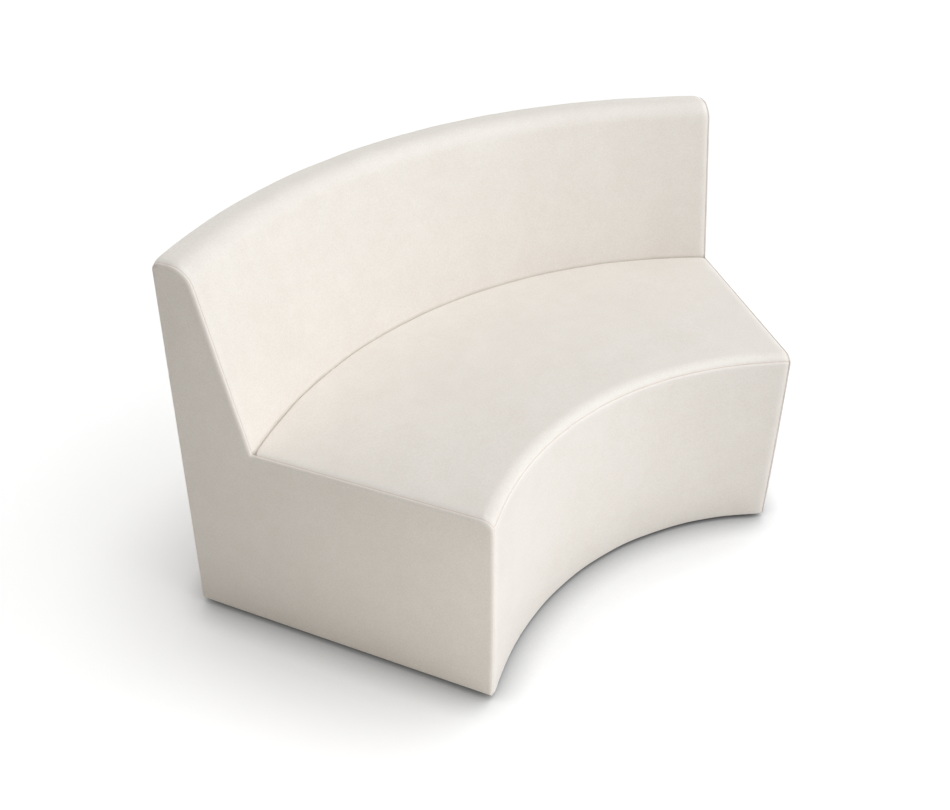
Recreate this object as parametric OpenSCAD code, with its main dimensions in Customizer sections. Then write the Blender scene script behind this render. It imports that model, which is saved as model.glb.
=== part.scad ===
// Inside-curve banquette bench: plywood frame, foam and a stitched cover, standing on low glides

/* [Overall] */
// Height of the seat above the floor
seat_height = 450; // [400:5:500]
// Height of the back above the floor
total_height = 822; // [740:2:950]
// Gap between the floor and the upholstery
floor_gap = 10; // [10:1:25]

/* [Plan] */
// Radius of the concave front of the seat
front_radius = 682; // [640:1:760]
// Half of the width across the two front corners
front_half_width = 417; // [340:1:430]
// Angle of each end panel from straight back
end_angle = 28; // [20:1:30]
// How far the arcs of the back are centred behind the arc of the front
centre_offset = 175; // [120:5:230]
// Depth of the seat in the middle, from the front to the crease
seat_depth = 516; // [440:2:600]
// How much further out the face of the back lies at the top than at the crease
back_lean = 80; // [40:2:100]
// How much further in the outside back lies at the top than at the floor
outer_lean = 25; // [0:1:40]

/* [Edges] */
// Radius of the roll-over along the front of the seat
front_round = 18; // [17:1:30]
// Radius of the front edge on top of the back
top_front_round = 50; // [30:1:60]
// Width of the flat strip on top of the back, between its rounded edges
top_flat = 18.2; // [5:0.1:40]
// Radius of the rear edge on top of the back
top_rear_round = 20; // [17:1:30]
// Radius of the turned-under edge at the floor
hem_round = 6; // [3:0.5:8]
// Radius that rounds the rear of the seat into the crease
crease_round = 12; // [6:1:20]
// Rise of the seat in its middle
seat_crown = 4; // [0:0.5:8]
// Swell of the face of the back
back_crown = 3; // [0:0.5:6]
// Swell of the front panel
front_crown = 2; // [0:0.5:4]
// How far the end panel swells past its seam
end_swell = 5; // [3:0.5:8]
// How far the end seam is drawn in from the faces beside it
end_draw = 4; // [2:0.5:6]
// Width of the rounded border of an end panel
end_border = 10; // [6:0.5:14]

/* [Cover and foam] */
// Thickness of the cover
cover = 1.5; // [1:0.1:2.5]
// Thickness of the seat foam
seat_foam_t = 70; // [50:1:90]
// Thickness of the foam behind the crease
back_foam_low = 50; // [35:1:60]
// Thickness of the foam on the face of the back at its top
back_foam_high = 28; // [20:1:40]
// Thickness of the foam on top of the back
top_foam_t = 25; // [22:1:35]
// Thickness of the foam on the front panel
front_foam_t = 10; // [6:0.5:16]
// Thickness of the foam on the end panels
end_foam_t = 12; // [10:0.5:18]
// Thickness of the wadding on the outside back
wadding_t = 4; // [2:0.5:8]
// Thickness of the dust cover
dust_t = 0.6; // [0.4:0.1:1.5]

/* [Frame] */
// Thickness of the ribs, the deck, the bottom board and the formers
board = 18; // [15:0.5:21]
// Thickness of the bending plywood on the front and on the face of the back
skin = 8; // [5:0.5:9]
// Thickness of the bending plywood on the outside back
outer_skin_t = 5; // [3:0.5:8]
// Width of the former behind the front panel
former_w = 60; // [40:1:80]
// Height of the former in the middle of the back
mid_former_z = 590; // [520:5:640]
// Diameter of the large lightening holes
hole_d = 120; // [60:5:130]
// Diameter of the lightening holes in the uprights
upright_hole_d = 44; // [20:1:50]
// Leg of the corner blocks
block_leg = 40; // [25:1:50]
// Length of the corner blocks
block_l = 70; // [40:5:90]
// Diameter of the screws that hold the deck to the ribs
screw_d = 5; // [3.5:0.5:6]
// Length of these screws
screw_l = 45; // [30:5:60]

/* [Glides] */
// Diameter of a glide's foot
foot_d = 44; // [30:1:50]
// Diameter of a glide's stem
stem_d = 8; // [6:1:10]
// Height of the top of the stem above the floor
stem_top = 46; // [40:1:60]
// Distance of the glides from the front and the outside back
glide_margin = 75; // [50:1:110]

/* [Hidden] */
$fn = 256;

// Small clearances and overruns
fit_gap = 0.4;
seam_gap = 0.6;
glue_gap = 0.1;
over = 5;
far = 3000;
// How far a seam is drawn in
seam_draw = 1.2;
// Where the front seam lies on the roll-over, from the top of the seat
seam_angle = 66;
// How far the covers turn under the bottom board
hem_l = 32;
// Width left around the dust cover
dust_margin = 18;

// Heights of the frame
hem_z = floor_gap;
board_z = floor_gap + cover;
board_top = board_z + board;
deck_top = seat_height - cover - seat_foam_t;
deck_z = deck_top - board;
wood_top = total_height - cover - top_foam_t;
rib_top = wood_top - board;
rear_seam_z = wood_top - outer_skin_t;

// Distances inward from the plane of an end panel
end_wood_w = cover + end_foam_t;
rib_in_w = end_wood_w + board;
panel_edge_w = end_swell + fit_gap;
foam_end_w = end_wood_w + fit_gap;
round_end_w = end_wood_w - fit_gap;

// Radii about the centre of the front arc
front_foam_r = front_radius + cover;
front_skin_r = front_foam_r + front_foam_t;
front_wood_r = front_skin_r + skin;

// Radii about the centre of the arcs of the back
crease_radius = front_radius + seat_depth - centre_offset;
back_rise = total_height - seat_height;
function face_r(z) = crease_radius + back_lean * (z - seat_height) / back_rise;
face_angle = atan(back_lean / back_rise);
rear_angle = atan(outer_lean / (total_height - hem_z));
front_round_r = face_r(total_height - top_front_round) + top_front_round / cos(face_angle);
rear_round_r = front_round_r + top_flat;
outer_radius = rear_round_r + top_rear_round / cos(rear_angle)
    + outer_lean * (total_height - top_rear_round - hem_z) / (total_height - hem_z);
function rear_r(z) = outer_radius - outer_lean * (z - hem_z) / (total_height - hem_z);

// Places of the two centres, with the origin under the middle of the bench
end_arc_angle = asin(front_half_width / front_radius);
corner_depth = sqrt(pow(front_radius, 2) - pow(front_half_width, 2));
rear_depth = centre_offset + outer_radius;
corner_in = (end_draw - front_crown) * cos(end_angle) + end_swell * sin(end_angle);
front_cy = -(corner_depth + corner_in + rear_depth) / 2;
back_cy = front_cy + centre_offset;
corner_y = front_cy + corner_depth;

// Layers behind the face of the back, as radii at a height
inner_low_r = crease_radius + back_foam_low;
inner_high_r = face_r(wood_top) + back_foam_high;
function inner_skin_r(z) = inner_low_r
    + (inner_high_r - inner_low_r) * (z - seat_height) / (wood_top - seat_height);
function upright_r(z) = inner_skin_r(z) + skin;
function outer_skin_r(z) = rear_r(z) - cover - wadding_t;
function frame_rear_r(z) = outer_skin_r(z) - outer_skin_t;
function glued_r(z) = frame_rear_r(z) - glue_gap;
deck_rear_r = upright_r(deck_top);

// A station is a line in plan, [angle on the front arc, direction, drawn in, crown]
function end_station(side, w, drawn) = let (
    a = end_angle + asin(sin(end_arc_angle - end_angle) - w / front_radius)
) [side * a, side * end_angle, drawn, 0];
function mid_station(t, w) = let (e = end_station(1, w, 0)) [t * e[0], t * e[1], 0, 1 - pow(t, 4)];
function start_of(st) = [front_radius * sin(st[0]), front_cy + front_radius * cos(st[0])];
function way_of(st) = [sin(st[1]), cos(st[1])];
// Distance along a station's line to a radius about the centre of the back
function depth_at(st, r) = let (
    p = start_of(st) - [0, back_cy],
    b = p * way_of(st)
) sqrt(b * b + r * r - p * p) - b;
function place(st, p) = let (q = start_of(st) + p[0] * way_of(st)) [q[0], q[1], p[1]];

// How far a panel is drawn in at a distance from the end plane
function drawn_at(w) = let (x = (round_end_w - w) / (round_end_w - panel_edge_w))
    end_draw * (1 - sqrt(1 - x * x));
edge_shares = [0, 0.14, 0.45];
mid_steps = 18;
// Steps around the rounded edges
hem_steps = 3;
roll_steps = 4;
crease_steps = 3;
top_front_steps = 5;
top_rear_steps = 3;
function edge_w(share) = panel_edge_w + share * (round_end_w - panel_edge_w);
function cover_stations() = concat(
    [for (k = edge_shares) end_station(-1, edge_w(k), drawn_at(edge_w(k)))],
    [for (k = [0:mid_steps]) mid_station(2 * k / mid_steps - 1, round_end_w)],
    [for (k = [len(edge_shares) - 1:-1:0])
        end_station(1, edge_w(edge_shares[k]), drawn_at(edge_w(edge_shares[k])))]);
function foam_stations() = [for (k = [0:mid_steps]) mid_station(2 * k / mid_steps - 1, foam_end_w)];

// Lines of a section, as [depth, height, how far in], from the front to the rear
function unit(v) = v / norm(v);
function inset(line, d) = [for (i = [0:len(line) - 1]) let (
    here = [line[i][0], line[i][1]],
    before = i > 0 ? [line[i - 1][0], line[i - 1][1]] : here,
    after = i < len(line) - 1 ? [line[i + 1][0], line[i + 1][1]] : here,
    a = i > 0 ? unit(here - before) : unit(after - here),
    b = i < len(line) - 1 ? unit(after - here) : a,
    na = [a[1], -a[0]],
    nb = [b[1], -b[0]]
) here + (d + line[i][2]) * (na + nb) / (1 + na * nb)];
function swell(x) = 4 * x * (1 - x);

// Point on the roll-over, at an angle from the top of the seat
function roll_point(a, drawn) = [front_round * (1 - sin(a)),
    seat_height - front_round * (1 - cos(a)), drawn];
half_gap_angle = seam_gap / front_round * 90 / PI;
panel_shares = [0.1, 0.3, 0.55, 0.8];
function panel_points() = let (low = hem_z + hem_round, high = seat_height - front_round)
    [for (x = panel_shares) [0, low + x * (high - low), -front_crown * swell(x)]];
front_roll_shares = [0, 0.4, 0.8];
function front_line() = concat(
    [[hem_l, hem_z, 0]],
    [for (k = [0:hem_steps]) let (a = 90 * k / hem_steps)
        [hem_round * (1 - sin(a)), hem_z + hem_round * (1 - cos(a)), 0]],
    panel_points(),
    [for (x = front_roll_shares) roll_point(90 - x * (90 - seam_angle), 0)],
    [roll_point(seam_angle + half_gap_angle, seam_draw)]);

seat_roll_shares = [0.75, 0.4, 0];
seat_shares = [0.15, 0.35, 0.6, 0.85];
function seat_line(st) = let (
    rear = depth_at(st, crease_radius) - seam_gap,
    flat_end = rear - crease_round
) concat(
    [roll_point(seam_angle - half_gap_angle, seam_draw)],
    [for (x = seat_roll_shares) roll_point(x * seam_angle, 0)],
    [for (x = seat_shares) [front_round + x * (flat_end - front_round), seat_height,
        -seat_crown * st[3] * swell(x)]],
    [for (k = [0:crease_steps]) let (a = 90 * k / crease_steps)
        [flat_end + crease_round * sin(a), seat_height - crease_round * (1 - cos(a)), 0]],
    [[rear, deck_top + seam_gap, 0]]);

// The same line for the back is given as radii, and its lower end drops behind the seat
face_low_z = seat_height + crease_round / 2;
face_high_z = total_height - top_front_round * (1 - sin(face_angle));
face_shares = [0, 0.12, 0.3, 0.5, 0.7, 0.88];
function back_profile(rear_end_z) = concat(
    [for (x = face_shares) let (z = face_low_z + x * (face_high_z - face_low_z))
        [face_r(z), z, -back_crown * swell(x)]],
    [for (k = [0:top_front_steps])
        let (a = 180 - face_angle - (90 - face_angle) * k / top_front_steps)
        [front_round_r + top_front_round * cos(a),
            total_height - top_front_round * (1 - sin(a)), 0]],
    [for (k = [0:top_rear_steps]) let (a = 90 - (90 - rear_angle) * k / top_rear_steps)
        [rear_round_r + top_rear_round * cos(a),
            total_height - top_rear_round * (1 - sin(a)), 0]],
    [[rear_r(rear_end_z), rear_end_z, 0]]);
crease_line = [
    [crease_radius + seam_gap, deck_top + seam_gap, 0],
    [crease_radius + seam_gap, seat_height - crease_round, 0]];
function at_station(st, profile) = [for (p = profile) [depth_at(st, p[0]), p[1], p[2]]];
function back_line(st) = at_station(st, concat(crease_line, back_profile(rear_seam_z + seam_gap)));

function pulled(line, drawn) = [for (p = line) [p[0], p[1], p[2] + drawn]];
function reversed(list) = [for (i = [len(list) - 1:-1:0]) list[i]];
function shell_ring(line) = concat(inset(line, 0), reversed(inset(line, cover)));

// Faces that close a ring: a strip between the two sides of a shell, or a fan from one point
function strip_cap(m) = [for (j = [0:m / 2 - 2]) [j, j + 1, m - 2 - j, m - 1 - j]];
function fan_cap(m, from) = [for (j = [1:m - 2]) [from, (from + j) % m, (from + j + 1) % m]];
function flipped(faces, shift) = [for (f = faces) reversed([for (j = f) j + shift])];
function shifted(faces, shift) = [for (f = faces) [for (j = f) j + shift]];

// Solid through a row of closed rings, each a list of points
module loft(rings, cap) {
    n = len(rings);
    m = len(rings[0]);
    points = [for (r = rings) each r];
    sides = [for (i = [0:n - 2], j = [0:m - 1]) let (
        a = i * m + j,
        b = i * m + (j + 1) % m
    ) each [[a, b, b + m], [a, b + m, a + m]]];
    polyhedron(points = points, faces = concat(sides, flipped(cap, 0), shifted(cap, (n - 1) * m)));
}
module station_loft(stations, sections, cap) {
    loft([for (i = [0:len(stations) - 1]) [for (p = sections[i]) place(stations[i], p)]], cap);
}
// Cover along the stations, from one line of its section at each of them
module cover_loft(stations, lines) {
    station_loft(stations, [for (line = lines) shell_ring(line)], strip_cap(2 * len(lines[0])));
}

// Placing aids
module mirrored() {
    mirror([1, 0, 0]) children();
}
module about_front() {
    translate([0, front_cy, 0]) children();
}
module about_back() {
    translate([0, back_cy, 0]) children();
}
module ring_back(profile) {
    about_back() rotate_extrude() polygon(profile);
}
module ring_front(profile) {
    about_front() rotate_extrude() polygon(profile);
}
// Plan between the end planes, moved inward by w
module end_wedge(w) {
    apex = corner_y - front_half_width / tan(end_angle) + w / sin(end_angle);
    polygon([[0, apex], [far * sin(end_angle), apex + far * cos(end_angle)],
        [-far * sin(end_angle), apex + far * cos(end_angle)]]);
}
module between_ends(w) {
    intersection() {
        children();
        translate([0, 0, -over]) linear_extrude(total_height + 2 * over) end_wedge(w);
    }
}
// Local frame of a station: X along its line, Y to its left, Z up
module on_station(st) {
    p = start_of(st);
    translate([p[0], p[1], 0]) rotate([0, 0, 90 - st[1]]) children();
}

// Frame
rib_shares = [-0.5, 0, 0.5];
glide_share = 0.78;
// Tee nuts: wall of the barrel, and the flange on the bottom board
nut_wall = 1.5;
nut_flange_t = 1.6;
nut_flange_share = 2.6;
nut_depth_share = 0.7;
glide_bore = stem_d + glue_gap;
nut_barrel_d = stem_d + 2 * nut_wall;
nut_flange_d = nut_flange_share * stem_d;
nut_l = nut_depth_share * board;
nut_hole_d = nut_barrel_d + fit_gap;
glide_stations = [for (t = [-glide_share, 0, glide_share]) mid_station(t, 0)];
function glide_place(col, rear) = let (st = glide_stations[col])
    place(st, [rear ? depth_at(st, outer_radius - glide_margin) : glide_margin, 0]);
module each_glide() {
    for (col = [0:2], rear = [0, 1]) translate(glide_place(col, rear == 1)) children();
}

module bottom_board() {
    color("burlywood") difference() {
        between_ends(end_wood_w) ring_back([[over, board_z], [frame_rear_r(board_z), board_z],
            [frame_rear_r(board_top), board_top], [over, board_top]]);
        about_front() translate([0, 0, board_z - over])
            cylinder(r = front_wood_r, h = board + 2 * over);
        each_glide() translate([0, 0, board_z - over]) cylinder(d = nut_hole_d, h = board + 2 * over);
    }
}

// Room between the skins, the deck and the bottom board that the ribs fill
module rib_room() {
    difference() {
        ring_back([[over, board_top], [glued_r(board_top), board_top],
            [glued_r(rib_top), rib_top], [upright_r(rib_top), rib_top],
            [deck_rear_r, deck_top], [deck_rear_r, deck_z], [over, deck_z]]);
        about_front() cylinder(r = front_wood_r, h = total_height);
    }
}
former_z = (board_top + deck_z) / 2;
hole_shares = [0.24, 0.72];
module rib_holes(st) {
    low = former_w + front_wood_r - front_radius;
    high = depth_at(st, upright_r(deck_z));
    for (x = hole_shares) translate([low + x * (high - low), 0, former_z])
        rotate([90, 0, 0]) cylinder(d = hole_d, h = far, center = true);
    upright_mid = (depth_at(st, upright_r(deck_z)) + depth_at(st, frame_rear_r(deck_z))) / 2;
    translate([upright_mid, 0, former_z])
        rotate([90, 0, 0]) cylinder(d = upright_hole_d, h = far, center = true);
    z = (deck_top + mid_former_z) / 2;
    translate([(depth_at(st, upright_r(z)) + depth_at(st, frame_rear_r(z))) / 2, 0, z])
        rotate([90, 0, 0]) cylinder(d = upright_hole_d, h = far, center = true);
}
// Countersunk screws down through the deck into the top of a rib
screw_shares = [0.1, 0.36, 0.64, 0.9];
screw_head_share = 1.9;
screw_point_share = 1.5;
screw_sides = 36;
module screw(grow, top) {
    shank_r = screw_d / 2 + grow;
    head_r = screw_head_share * screw_d / 2 + grow;
    rotate_extrude($fn = screw_sides) polygon(concat(
        top > 0 ? [[0, top], [head_r, top]] : [[0, 0]],
        [[head_r, 0], [shank_r, shank_r - head_r],
            [shank_r, screw_point_share * screw_d - screw_l], [0, -screw_l - grow]]));
}
module screws_at(st, y) {
    low = front_wood_r - front_radius;
    high = depth_at(st, deck_rear_r);
    on_station(st) for (x = screw_shares) translate([low + x * (high - low), y, deck_top])
        children();
}
module each_screw() {
    for (t = rib_shares) screws_at(mid_station(t, 0), 0) children();
    screws_at(end_station(1, 0, 0), end_wood_w + board / 2) children();
    mirrored() screws_at(end_station(1, 0, 0), end_wood_w + board / 2) children();
}
module deck_screws() {
    color("silver") each_screw() screw(0, 0);
}
module rib(st, y0) {
    color("burlywood") difference() {
        intersection() {
            rib_room();
            on_station(st) translate([0, y0, 0]) cube([far, board, total_height]);
        }
        on_station(st) rib_holes(st);
        screws_at(st, y0 + board / 2) screw(glue_gap / 2, over);
    }
}
// Slot that the front former passes through, and notches over the middle glides
module former_slot() {
    about_front() translate([0, 0, former_z - board / 2 - fit_gap])
        cylinder(r = front_wood_r + former_w + fit_gap, h = board + 2 * fit_gap);
}
module glide_notches() {
    each_glide() translate([0, 0, board_top - over])
        cylinder(d = nut_flange_d + 2 * nut_wall, h = stem_top - board_top + 2 * over);
}
module inner_rib(k) {
    difference() {
        rib(mid_station(rib_shares[k], 0), -board / 2);
        former_slot();
        glide_notches();
    }
}
module rib_inner_left() {
    color("burlywood") inner_rib(0);
}
module rib_centre() {
    color("burlywood") inner_rib(1);
}
module rib_inner_right() {
    color("burlywood") inner_rib(2);
}
module rib_end_right() {
    color("burlywood") rib(end_station(1, 0, 0), end_wood_w);
}
module rib_end_left() {
    color("burlywood") mirrored() rib(end_station(1, 0, 0), end_wood_w);
}

module seat_deck() {
    color("tan") difference() {
        translate([0, 0, deck_z]) linear_extrude(board) intersection() {
            difference() {
                translate([0, back_cy]) circle(r = deck_rear_r);
                translate([0, front_cy]) circle(r = front_wood_r);
            }
            end_wedge(end_wood_w);
        }
        each_screw() screw(glue_gap / 2, over);
    }
}
module front_former() {
    color("tan") translate([0, 0, former_z - board / 2]) linear_extrude(board) intersection() {
        translate([0, front_cy]) difference() {
            circle(r = front_wood_r + former_w);
            circle(r = front_wood_r);
        }
        end_wedge(rib_in_w);
    }
}
module back_mid_formers() {
    low = mid_former_z - board / 2;
    high = mid_former_z + board / 2;
    color("tan") difference() {
        between_ends(rib_in_w) ring_back([[upright_r(low), low], [glued_r(low), low],
            [glued_r(high), high], [upright_r(high), high]]);
        for (t = rib_shares) on_station(mid_station(t, 0)) translate([0, -board / 2, 0])
            cube([far, board, total_height]);
    }
}
module back_top_former() {
    color("tan") between_ends(end_wood_w) ring_back([[upright_r(rib_top), rib_top],
        [glued_r(rib_top), rib_top], [glued_r(wood_top), wood_top],
        [upright_r(wood_top), wood_top]]);
}

module front_skin() {
    color("wheat") between_ends(end_wood_w) ring_front([[front_skin_r, board_z],
        [front_wood_r, board_z], [front_wood_r, deck_top], [front_skin_r, deck_top]]);
}
module inside_back_skin() {
    color("wheat") between_ends(end_wood_w) ring_back([[inner_skin_r(deck_top), deck_top],
        [upright_r(deck_top), deck_top], [upright_r(wood_top), wood_top],
        [inner_skin_r(wood_top), wood_top]]);
}
module outside_back_skin() {
    color("wheat") between_ends(end_wood_w) ring_back([[frame_rear_r(board_z), board_z],
        [outer_skin_r(board_z), board_z], [outer_skin_r(wood_top), wood_top],
        [frame_rear_r(wood_top), wood_top]]);
}

// Three-cornered timber blocks in the corners beside the ribs
module corner_block(low) {
    z = low ? board_top : deck_z;
    s = low ? 1 : -1;
    translate([-block_l / 2, 0, z]) rotate([90, 0, 90]) linear_extrude(block_l)
        polygon([[0, 0], [block_leg, 0], [0, s * block_leg]]);
}
block_shares = [0.36, 0.86];
module rib_blocks(st, y0, both) {
    back = depth_at(st, upright_r(deck_z)) - block_l;
    on_station(st) for (x = block_shares, low = [true, false]) translate([x * back, 0, 0]) {
        translate([0, y0 + board, 0]) corner_block(low);
        if (both) translate([0, y0, 0]) mirror([0, 1, 0]) corner_block(low);
    }
}
module corner_blocks() {
    color("peru") {
        for (t = rib_shares) rib_blocks(mid_station(t, 0), -board / 2, true);
        rib_blocks(end_station(1, 0, 0), end_wood_w, false);
        mirrored() rib_blocks(end_station(1, 0, 0), end_wood_w, false);
    }
}

module tee_nuts() {
    color("silver") each_glide() difference() {
        union() {
            translate([0, 0, board_top - nut_l]) cylinder(d = nut_barrel_d, h = nut_l);
            translate([0, 0, board_top]) cylinder(d = nut_flange_d, h = nut_flange_t);
        }
        cylinder(d = glide_bore, h = stem_top + over);
    }
}

// Foam and wadding
foam_in = cover + fit_gap;
function seat_foam_ring(st) = let (line = inset(seat_line(st), foam_in)) concat(
    [[foam_in, deck_top]],
    [for (k = [roll_steps:-1:1]) inset_roll(90 * k / roll_steps)],
    [for (i = [len(seat_roll_shares):len(line) - 2]) line[i]],
    [[line[len(line) - 1][0], deck_top]]);
// The foam gives way under the seam
give_angle = 60;
function inset_roll(a) = let (
    give = max(0, 1 - abs(a - seam_angle) / give_angle),
    r = front_round - foam_in - seam_draw * give
) [front_round - r * sin(a), seat_height - front_round + r * cos(a)];
module seat_foam() {
    st = foam_stations();
    rings = [for (s = st) seat_foam_ring(s)];
    color("khaki") station_loft(st, rings, fan_cap(len(rings[0]), 0));
}
module back_foam() {
    // The sides turned to the rear keep clear of the flat facets of the cover
    facet_gap = outer_radius * (1 - cos(end_arc_angle / mid_steps)) + fit_gap;
    outer = inset(back_profile(wood_top), foam_in);
    last = len(outer) - 1;
    clear = [for (p = outer) p[0] > front_round_r ? p - [facet_gap, facet_gap / 2] : p];
    color("khaki") between_ends(foam_end_w) ring_back(concat(
        [[crease_radius + seam_gap + foam_in, deck_top],
            [crease_radius + seam_gap + foam_in, seat_height - crease_round]],
        [for (i = [0:last - 1]) clear[i]],
        [[clear[last][0], wood_top], [inner_skin_r(wood_top), wood_top],
            [inner_skin_r(deck_top), deck_top]]));
}
module front_foam() {
    line = inset(front_line(), foam_in);
    low = hem_steps + 1;
    color("khaki") between_ends(foam_end_w) ring_front(concat(
        [[front_skin_r, line[low][1]]],
        [for (i = [low:len(line) - 1]) if (line[i][1] < deck_top) [front_radius + line[i][0], line[i][1]]],
        [[front_radius + foam_in, deck_top], [front_skin_r, deck_top]]));
}
wadding_top = rear_seam_z - seam_gap;
module outside_back_wadding() {
    color("white") between_ends(foam_end_w) ring_back([
        [outer_skin_r(board_z) + glue_gap, board_z],
        [outer_skin_r(board_z) + wadding_t, board_z],
        [outer_skin_r(wadding_top) + wadding_t - fit_gap, wadding_top],
        [outer_skin_r(wadding_top) + glue_gap, wadding_top]]);
}

// Outline of an end panel, from the front corner at the floor over the seat and the back
function end_outline() = let (st = end_station(1, 0, 0)) concat(
    [[0, hem_z, 0]],
    panel_points(),
    [for (k = [0:roll_steps]) roll_point(90 * (1 - k / roll_steps), 0)],
    [[depth_at(st, crease_radius), seat_height, 0]],
    at_station(st, back_profile(rear_seam_z)),
    [[depth_at(st, rear_r(hem_z)), hem_z, 0]]);
// The outline closes along the floor, where its border is narrower
hem_share = 0.45;
function end_ring(d, floor_share) = let (
    line = end_outline(),
    moved = inset(line, d),
    last = len(line) - 1,
    low = hem_z + floor_share * d
) concat([[moved[0][0], low]], [for (i = [1:last - 1]) moved[i]], [[moved[last][0], low]]);
// Place of the crease in the outline
crease_index = len(panel_shares) + roll_steps + 2;
module end_foam() {
    outline = end_ring(end_draw + end_border / 2 + cover, 1);
    // Slot that the covers pass through at the crease
    st = end_station(1, 0, 0);
    inner_st = end_station(1, end_wood_w, 0);
    slot_side = end_draw + seam_gap + cover + fit_gap;
    slot_low = depth_at(st, crease_radius) - slot_side;
    slot_high = depth_at(inner_st, crease_radius) + slot_side
        + (start_of(inner_st) - start_of(st)) * way_of(st);
    color("khaki") on_station(st) translate([0, end_wood_w, 0])
        rotate([90, 0, 0]) linear_extrude(end_foam_t - fit_gap) difference() {
            polygon(outline);
            translate([slot_low, deck_top]) square([slot_high - slot_low, back_rise]);
        }
}
module end_foam_right() {
    end_foam();
}
module end_foam_left() {
    mirrored() end_foam();
}

// Covers
module seat_cover() {
    st = cover_stations();
    color("ivory") cover_loft(st, [for (s = st) pulled(seat_line(s), s[2])]);
}
module inside_back_cover() {
    st = cover_stations();
    color("ivory") cover_loft(st, [for (s = st) pulled(back_line(s), s[2])]);
}
module front_cover() {
    st = cover_stations();
    color("ivory") cover_loft(st, [for (s = st) pulled(front_line(), s[2])]);
}
module outside_back_cover() {
    color("ivory") between_ends(panel_edge_w) ring_back([[rear_r(hem_z) - hem_l, hem_z],
        [rear_r(hem_z), hem_z], [rear_r(wadding_top), wadding_top],
        [rear_r(wadding_top) - cover, wadding_top],
        [rear_r(board_z) - cover, board_z], [rear_r(hem_z) - hem_l, board_z]]);
}
// Rings of an end panel, from the seam over the rounded border to the flat middle
border_steps = 3;
function border_ring(k, d) = let (a = 90 * k / border_steps) [
    end_draw + end_border * (1 - cos(a)) + d * cos(a),
    end_swell * (1 - sin(a)) + d * sin(a)];
function end_panel_ring(b) = [for (p = end_ring(b[0], hem_share)) [p[0], b[1], p[1]]];
module end_cover() {
    outer = [for (k = [0:border_steps]) end_panel_ring(border_ring(k, 0))];
    inner = [for (k = [border_steps:-1:0]) end_panel_ring(border_ring(k, cover))];
    color("ivory") on_station(end_station(1, 0, 0)) closed_skin(outer, inner);
}
// Solid between an outer and an inner row of rings that meet along their first ring. The flat
// middle is a fan from the crease, which every point of the outline faces.
module closed_skin(outer, inner) {
    n = len(outer);
    m = len(outer[0]);
    rings = concat(outer, inner);
    points = [for (r = rings) each r];
    band = [for (i = [0:2 * n - 1], j = [0:m - 1]) let (
        a = i * m + j,
        b = i * m + (j + 1) % m,
        c = ((i + 1) % (2 * n)) * m + j,
        d = ((i + 1) % (2 * n)) * m + (j + 1) % m
    ) if (i != n - 1) each [[a, b, d], [a, d, c]]];
    cap = fan_cap(m, crease_index);
    polyhedron(points = points, faces = concat(band, shifted(cap, (n - 1) * m), flipped(cap, n * m)));
}
module end_cover_right() {
    end_cover();
}
module end_cover_left() {
    mirrored() end_cover();
}
module dust_cover() {
    color("dimgray") translate([0, 0, hem_z - dust_t]) linear_extrude(dust_t) difference() {
        intersection() {
            translate([0, back_cy]) circle(r = outer_radius - dust_margin);
            end_wedge(end_wood_w + dust_margin);
        }
        translate([0, front_cy]) circle(r = front_radius + dust_margin);
        each_glide() circle(d = nut_barrel_d);
    }
}

// Levelling glide: a low round foot moulded on a steel stem
foot_h = hem_z - dust_t - fit_gap;
foot_rim_share = 0.35;
foot_neck_share = 0.6;
foot_edge_share = 0.12;
collar_share = 0.5;
module glide(col, rear) {
    color("gray") translate(glide_place(col, rear)) {
        edge = foot_edge_share * foot_h;
        shoulder = (1 - foot_edge_share) * foot_h;
        rotate_extrude() polygon([[0, 0], [foot_d / 2 - edge, 0], [foot_d / 2, edge],
            [foot_d / 2, foot_rim_share * foot_h], [foot_neck_share * foot_d / 2, shoulder],
            [0, shoulder]]);
        cylinder(d = collar_share * foot_d, h = foot_h, $fn = 6);
        cylinder(d = stem_d, h = stem_top);
    }
}
module glide_front_left() {
    glide(0, false);
}
module glide_front_centre() {
    glide(1, false);
}
module glide_front_right() {
    glide(2, false);
}
module glide_rear_left() {
    glide(0, true);
}
module glide_rear_centre() {
    glide(1, true);
}
module glide_rear_right() {
    glide(2, true);
}

bottom_board();
rib_end_left();
rib_inner_left();
rib_centre();
rib_inner_right();
rib_end_right();
seat_deck();
front_former();
back_mid_formers();
back_top_former();
front_skin();
inside_back_skin();
outside_back_skin();
corner_blocks();
deck_screws();
tee_nuts();
seat_foam();
back_foam();
front_foam();
end_foam_left();
end_foam_right();
outside_back_wadding();
seat_cover();
inside_back_cover();
front_cover();
outside_back_cover();
end_cover_left();
end_cover_right();
dust_cover();
glide_front_left();
glide_front_centre();
glide_front_right();
glide_rear_left();
glide_rear_centre();
glide_rear_right();
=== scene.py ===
# %% [markdown]
# # A curved banquette bench
# The real bench is a plywood carcass wrapped in foam and a sewn leatherette cover. It stands on six
# low glides and bends round the front of a table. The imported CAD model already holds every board,
# block and glide at its place. This file adds what CAD is poor at: the stretched cover with its
# seams, the foam and wadding under it, threaded glides, and a finish for every piece.

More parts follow.
